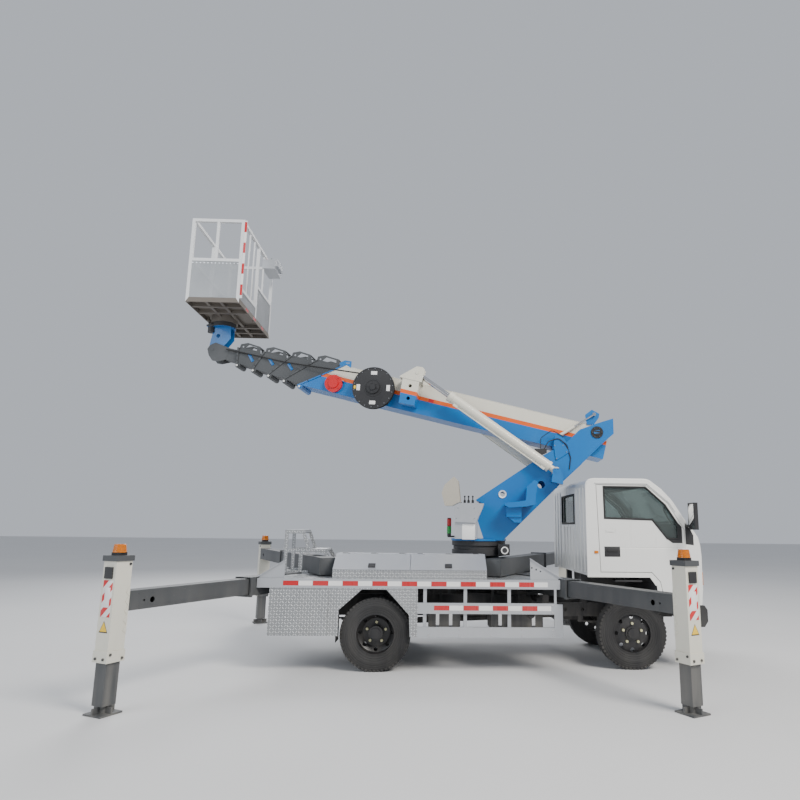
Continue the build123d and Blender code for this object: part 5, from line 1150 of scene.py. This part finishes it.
class TRUCK_OT_basket_trim(bpy.types.Operator):
    """Marks, rivets, buttons, levers, hooks and floor ribs of the work basket"""

    bl_idname = "truck.basket_trim"
    bl_label = "Basket trim"

    def execute(self, context):
        place = Matrix.Translation((BASKET.x, BASKET.y, BASKET_FLOOR_Z))
        wide = BASKET_HALF_X
        long = BASKET_HALF_Y
        red = bmesh.new()
        white = bmesh.new()
        for k in range(7):
            low = 0.10 + 0.14 * k
            block(red if k % 2 == 0 else white, place, (wide + 0.002, -long + 0.0005, low),
                  (wide + 0.032, -long + 0.0025, low + 0.14))
        for y in (-0.45, -0.1, 0.3):
            block(red, place, (wide - 0.001, y, 0.012), (wide + 0.0008, y + 0.12, 0.046))
        finish_piece(red, "basket_red_marks", "basket", "tape_red")
        finish_piece(white, "basket_white_marks", "basket", "white")
        short = [spot(place, -wide + 0.05 + 0.0465 * k, -long + 0.0045, 0.515) for k in range(13)]
        long_side = [spot(place, -wide + 0.0045, -long + 0.05 + 0.052 * k, 0.515) for k in range(28)]
        rivets = [(head, Vector((0, -0.003, 0)), 0.007) for head in short]
        rivets += [(head, Vector((-0.003, 0, 0)), 0.007) for head in long_side]
        stud_piece("panel_rivets", "basket", "chrome", rivets, segments=12)
        outline = ((0.0, 0.002), (0.012, 0.002), (0.014, 0.008), (0.010, 0.011), (0.0, 0.011))
        for finish, spots in (("red", ((0.02, 0.28),)), ("yellow", ((0.05, 0.32),)),
                              ("lamp_green", ((0.02, 0.32), (0.08, 0.28))),
                              ("white", ((0.08, 0.32), (0.05, 0.28)))):
            buttons = bmesh.new()
            for x, y in spots:
                lathe(buttons, spot(place, wide + x, y, 1.0295), UP, outline, segments=24)
            finish_piece(buttons, "basket_buttons_" + finish, "basket", finish)
        levers = bmesh.new()
        for y in (0.38, 0.45, 0.52):
            foot = spot(place, wide + 0.06, y, 1.0295)
            for k in range(4):
                fold = ((0.0, 0.006), (0.002, 0.016 - 0.003 * k), (0.005, 0.006))
                lathe(levers, foot + UP * 0.005 * k, UP, fold, segments=20)
            rod(levers, foot, UP * 0.055, 0.004, segments=12)
            ball(levers, foot + UP * 0.058, 0.009)
        finish_piece(levers, "basket_levers", "basket", "rubber")
        hooks = bmesh.new()
        bend = [0.6 * k for k in range(6)]
        for y in (-0.5, 0.1):
            curl = [(-wide + 0.019 + 0.022 * math.sin(t), y, 0.49 - 0.022 * math.cos(t)) for t in bend]
            tube(hooks, route(place, curl), 0.004, segments=8)
        finish_piece(hooks, "harness_hooks", "basket", "chrome")
        ribs = bmesh.new()
        for k in range(9):
            y = -long + 0.12 + 0.158 * k
            block(ribs, place, (-wide + 0.05, y, 0.0595), (wide - 0.05, y + 0.02, 0.0625))
        finish_piece(ribs, "floor_ribs", "basket", "rubber", bevel=0.001)
        return {"FINISHED"}


def crowned(mesh, low, high, swell):
    """Add a cushion block whose top and front swell towards their middles."""
    block(mesh, TRUCK, low, high)
    bmesh.ops.subdivide_edges(mesh, edges=list(mesh.edges), cuts=9, use_grid_fill=True)
    middle = (low + high) / 2
    half = (high - low) / 2
    back = TRUCK.inverted()
    for vert in mesh.verts:
        own = back @ vert.co
        share = [(own[k] - middle[k]) / half[k] for k in range(3)]
        for k in (0, 2):
            if share[k] > 0.999:
                own[k] += swell * (1 - share[1] ** 2) * (1 - share[2 - k] ** 2)
        vert.co = TRUCK @ own
    corners = [edge for edge in mesh.edges if edge.calc_face_angle(0.0) > 1.0]
    bmesh.ops.bevel(mesh, geom=corners, offset=0.02, segments=4, profile=0.5, affect="EDGES", material=-1)


def cushion(name, low, high, out):
    """Crowned seat pad with piping round its face and two seams, whose face looks along axis number out."""
    swell = 0.025
    foam = 0.012
    low = Vector(low) - Vector((foam, foam, 0.0004))
    high = Vector(high) + Vector((foam, foam, foam))
    middle = (low + high) / 2
    half = (high - low) / 2
    along = 2 - out

    def on_face(across, run, rise):
        """Point on the pad's face."""
        own = middle.copy()
        own.y += across
        own[along] += run
        own[out] = high[out] - 0.003 + rise
        return TRUCK @ own

    mesh = bmesh.new()
    crowned(mesh, low, high, swell)
    corners = ((-1, -1), (1, -1), (1, 1), (-1, 1))
    piping = [on_face(a * (half.y - 0.022), b * (half[along] - 0.022), 0) for a, b in corners]
    tube(mesh, piping, 0.006, segments=8, closed=True)
    for share in (-0.34, 0.34):
        seam = [on_face(share * half.y, step * half[along], swell * (1 - step ** 2) * (1 - share ** 2))
                for step in (-0.9, -0.5, 0.0, 0.5, 0.9)]
        tube(mesh, seam, 0.004, segments=6)
    pad = finish_piece(mesh, name, "chassis", "cloth")


class TRUCK_OT_cab_trim(bpy.types.Operator):
    """Window rubbers, handles, wipers, lamp bezels, amber lamps, steps, mirror glass and seat pads"""

    bl_idname = "truck.cab_trim"
    bl_label = "Cab trim"

    def side_trim(self, name, side):
        """What a door and the cab's own side carry."""
        body = "door_" + name
        window = ((2.504, 1.618), (2.500, 1.965), (2.975, 1.965), (3.190, 1.770), (3.325, 1.560),
                  (3.325, 1.400), (3.200, 1.400), (3.040, 1.605))
        edge = route(TRUCK, [(x, side * 0.878, z) for x, z in window])
        tube_piece("window_rubber_" + name, body, "rubber", edge, 0.011)
        box_piece("handle_plate_" + name, body, "plastic", TRUCK,
                  (2.489, side * 0.880 - 0.003, 1.197), (2.664, side * 0.880 + 0.003, 1.308), bevel=0.0025)
        grip = bmesh.new()
        block(grip, TRUCK, (2.515, side * 0.8855 - 0.0055, 1.250), (2.640, side * 0.8855 + 0.0055, 1.288))
        rod(grip, spot(TRUCK, 2.530, side * 0.882, 1.222), Vector((0, side * 0.005, 0)), 0.009)
        finish_piece(grip, "door_handle_" + name, body, "rubber", bevel=0.003)
        for part, carrier, outline in (
                ("window_edge_", body, ((3.336, 1.565), (3.368, 1.530), (3.368, 1.352), (3.255, 1.352),
                                        (3.205, 1.390), (3.336, 1.390))),
                ("quarter_trim_", "chassis", ((3.405, 1.575), (3.470, 1.490), (3.495, 1.440), (3.495, 1.330),
                                              (3.405, 1.340)))):
            plate_piece(part + name, carrier, "plastic", TRUCK, outline, side * DOOR_FACE,
                        side * (DOOR_FACE + 0.0023), bevel=0.0008)
        box_piece("side_marker_" + name, "chassis", "amber", TRUCK,
                  (2.375, side * 0.884 - 0.006, 1.232), (2.420, side * 0.884 + 0.006, 1.262), bevel=0.003)
        bar = ((3.36, 0.845, 1.45), (3.33, 0.815, 1.50), (3.24, 0.800, 1.64), (3.20, 0.815, 1.72),
               (3.20, 0.840, 1.75))
        bar = route(TRUCK, [(x, side * y, z) for x, y, z in bar])
        tube_piece("grab_handle_" + name, "chassis", "plastic", bar, 0.010, closed=False)
        glass = bmesh.new()
        block(glass, TRUCK, (3.4022, side * 1.0675 - 0.065, 1.515), (3.4052, side * 1.0675 + 0.065, 1.775))
        outline = ((0.0, 0.001), (0.0025, 0.001), (0.0025, 0.076), (0.0, 0.076))
        lathe(glass, spot(TRUCK, 3.4545, side * 0.94, 1.590), (-1, 0, 0), outline, segments=48)
        finish_piece(glass, "mirror_glass_" + name, "chassis", "mirror")
        rim = [(3.576 + (z - 0.87) * 0.014, side * y, z) for y, z in
               ((0.552, 0.872), (0.808, 0.872), (0.808, 1.058), (0.552, 1.058))]
        tube_piece("lamp_bezel_" + name, "chassis", "plastic", route(TRUCK, rim), 0.010)
        box_piece("turn_lamp_" + name, "chassis", "amber", TRUCK,
                  (3.566, side * 0.845 - 0.022, 0.90), (3.584, side * 0.845 + 0.022, 1.04), bevel=0.004)
        step = bmesh.new()
        block(step, TRUCK, (2.60, side * 0.80 - 0.07, 0.93), (2.90, side * 0.80 + 0.07, 0.948))
        for x in (2.63, 2.85):
            block(step, TRUCK, (x, side * 0.77 - 0.01, 0.94), (x + 0.02, side * 0.77 + 0.01, 0.998))
        finish_piece(step, "cab_step_" + name, "chassis", "plastic", bevel=0.002)

    def execute(self, context):
        for name, side in SIDES:
            self.side_trim(name, side)
        screen = ((3.075, 2.014), (3.160, 1.950), (3.275, 1.826), (3.425, 1.590))
        corners = [(x, -0.806, z) for x, z in screen] + [(x, 0.806, z) for x, z in reversed(screen)]
        tube_piece("screen_rubber", "chassis", "rubber", route(TRUCK, corners), 0.012)
        corners = [(2.294, y, z) for y, z in ((-0.33, 1.56), (0.33, 1.56), (0.33, 1.90), (-0.33, 1.90))]
        tube_piece("rear_window_rubber", "chassis", "rubber", route(TRUCK, corners), 0.012)
        wipers = bmesh.new()
        for y in (-0.42, 0.25):
            foot = spot(TRUCK, 3.462, y, 1.548)
            tip = spot(TRUCK, 3.378, y + 0.36, 1.690)
            tube(wipers, [foot, (foot + tip) / 2 + Vector((0.010, 0, 0.010)), tip], 0.006, segments=8)
            blade = Vector((-0.10, 0.0, 0.155)) * 0.9
            rod(wipers, tip - blade, blade * 2, 0.005, segments=8)
            rod(wipers, foot - Vector((0.02, 0, 0.01)), Vector((0.028, 0, 0.018)), 0.014, segments=20)
        finish_piece(wipers, "wipers", "chassis", "plastic")
        for name, near, far in (("right", -0.720, -0.120), ("left", 0.190, 0.720)):
            cushion("cushion_" + name, (2.511, near, 1.0405), (2.950, far, 1.330), 2)
            cushion("backrest_" + name, (2.400, near, 1.0405), (2.510, far, 1.820), 0)
        return {"FINISHED"}


class TRUCK_OT_wheel_trim(bpy.types.Operator):
    """Shoulder blocks and valves of the wheels"""

    bl_idname = "truck.wheel_trim"
    bl_label = "Wheel trim"

    def execute(self, context):
        count = trim().tread_blocks
        for start, axle_x, planes in WHEELS:
            for end, side in SIDES:
                name = start + "_" + end
                lugs = bmesh.new()
                for plane in planes:
                    middle = Matrix.Translation((axle_x, side * plane, AXLE_Z))
                    for k in range(count):
                        turn = middle @ Matrix.Rotation(math.tau * k / count, 4, "Y")
                        for edge in (-1, 1):
                            inner, outer = sorted(edge * reach for reach in TREAD_EDGE)
                            block(lugs, turn, (-0.0125, inner, TREAD_RADIUS[0]),
                                  (0.0125, outer, TREAD_RADIUS[1]))
                finish_piece(lugs, "tread_blocks_" + name, "wheel_" + name, "rubber")
                valve = bmesh.new()
                foot = Vector((axle_x, side * (planes[0] + 0.036), AXLE_Z + 0.201))
                stem = Vector((0, side * 0.020, -0.026))
                rod(valve, foot, stem, 0.004, segments=10)
                rod(valve, foot + stem * 0.6, stem * 0.4, 0.006, segments=10)
                finish_piece(valve, "valve_" + name, "wheel_" + name, "chrome")
        return {"FINISHED"}


LIGHTS = (
    # name, place, aim, width, watts, colour
    ("Key", (7.0, -9.0, 11.0), (0, 0, 1.5), 5.0, 2300, (1.0, 0.96, 0.9)),
    ("Fill", (-9.0, -8.0, 6.0), (0, 0, 2.0), 8.0, 500, (0.9, 0.95, 1.0)),
    ("Back", (-4.0, 9.0, 9.0), (0, 0, 2.0), 6.0, 900, (1.0, 1.0, 1.0)),
)


class TRUCK_OT_stage(bpy.types.Operator):
    """Floor, soft studio light and the camera at the photograph's view"""

    bl_idname = "truck.stage"
    bl_label = "Stage"

    def floor(self, context):
        """Plain pale floor."""
        mesh = bmesh.new()
        bmesh.ops.create_grid(mesh, x_segments=1, y_segments=1, size=60)
        data = bpy.data.meshes.new("floor")
        mesh.to_mesh(data)
        mesh.free()
        floor = bpy.data.objects.new("floor", data)
        context.scene.collection.objects.link(floor)
        material, net, shader, vector = start_material("Floor_Pale")
        cloud = net.noise(vector, 0.4, 5.0)
        net.put(shader.inputs["Base Color"], net.mix(cloud, (0.60, 0.60, 0.60, 1), (0.66, 0.66, 0.66, 1)))
        shader.inputs["Roughness"].default_value = 0.75
        data.materials.append(material)

    def lights(self, context):
        """World and area lamps."""
        world = bpy.data.worlds.new("Studio")
        world.use_nodes = True
        world.node_tree.nodes["Background"].inputs[0].default_value = (0.86, 0.91, 1.0, 1)
        world.node_tree.nodes["Background"].inputs[1].default_value = 0.6
        context.scene.world = world
        for name, place, aim, size, energy, tint in LIGHTS:
            lamp = bpy.data.lights.new(name, "AREA")
            lamp.size = size
            lamp.energy = energy
            lamp.color = tint
            holder = bpy.data.objects.new(name, lamp)
            holder.location = place
            holder.rotation_euler = (Vector(aim) - Vector(place)).to_track_quat("-Z", "Y").to_euler()
            context.scene.collection.objects.link(holder)

    def camera(self, context):
        """Camera on the right of the truck, at the photograph's view."""
        lens = bpy.data.cameras.new("View")
        lens.lens = 27.74
        lens.shift_x = -0.0653
        lens.shift_y = 0.0159
        lens.clip_end = 200
        camera = bpy.data.objects.new("View", lens)
        yaw = math.radians(-2.237)
        pitch = math.radians(10.451)
        roll = math.radians(0.634)
        right = Vector((math.cos(yaw), math.sin(yaw), 0))
        ahead = Vector((-math.sin(yaw), math.cos(yaw), 0))
        forward = ahead * math.cos(pitch) + UP * math.sin(pitch)
        over = UP * math.cos(pitch) - ahead * math.sin(pitch)
        side = right * math.cos(roll) + over * math.sin(roll)
        top = over * math.cos(roll) - right * math.sin(roll)
        camera.matrix_world = place_of((REAR_AXLE_X + 0.5219, -7.7698, 1.507), side, top, -forward)
        context.scene.collection.objects.link(camera)
        context.scene.camera = camera

    def execute(self, context):
        self.floor(context)
        self.lights(context)
        self.camera(context)
        return {"FINISHED"}


class TRUCK_PT_panel(bpy.types.Panel):
    """Lists the truck's operators"""

    bl_idname = "TRUCK_PT_panel"
    bl_label = "Cherry picker truck"
    bl_space_type = "VIEW_3D"
    bl_region_type = "UI"
    bl_category = "Truck"

    def draw(self, context):
        for operator in OPERATORS:
            self.layout.operator(operator.bl_idname)


SETTINGS = (TruckPaint, TruckTrim)
OPERATORS = (
    TRUCK_OT_finishes, TRUCK_OT_deck_trim, TRUCK_OT_jack_trim, TRUCK_OT_turret_trim, TRUCK_OT_boom_trim,
    TRUCK_OT_basket_trim, TRUCK_OT_cab_trim, TRUCK_OT_wheel_trim, TRUCK_OT_stage,
)


def register():
    for kind in SETTINGS + OPERATORS + (TRUCK_PT_panel,):
        bpy.utils.register_class(kind)
    bpy.types.Scene.truck_paint = PointerProperty(type=TruckPaint)
    bpy.types.Scene.truck_trim = PointerProperty(type=TruckTrim)


def unregister():
    del bpy.types.Scene.truck_trim
    del bpy.types.Scene.truck_paint
    for kind in reversed(SETTINGS + OPERATORS + (TRUCK_PT_panel,)):
        bpy.utils.unregister_class(kind)


def main():
    """Build the looks around the frame."""
    register()
    for operator in OPERATORS:
        group, name = operator.bl_idname.split(".")
        getattr(getattr(bpy.ops, group), name)()


if __name__ == "__main__":
    main()
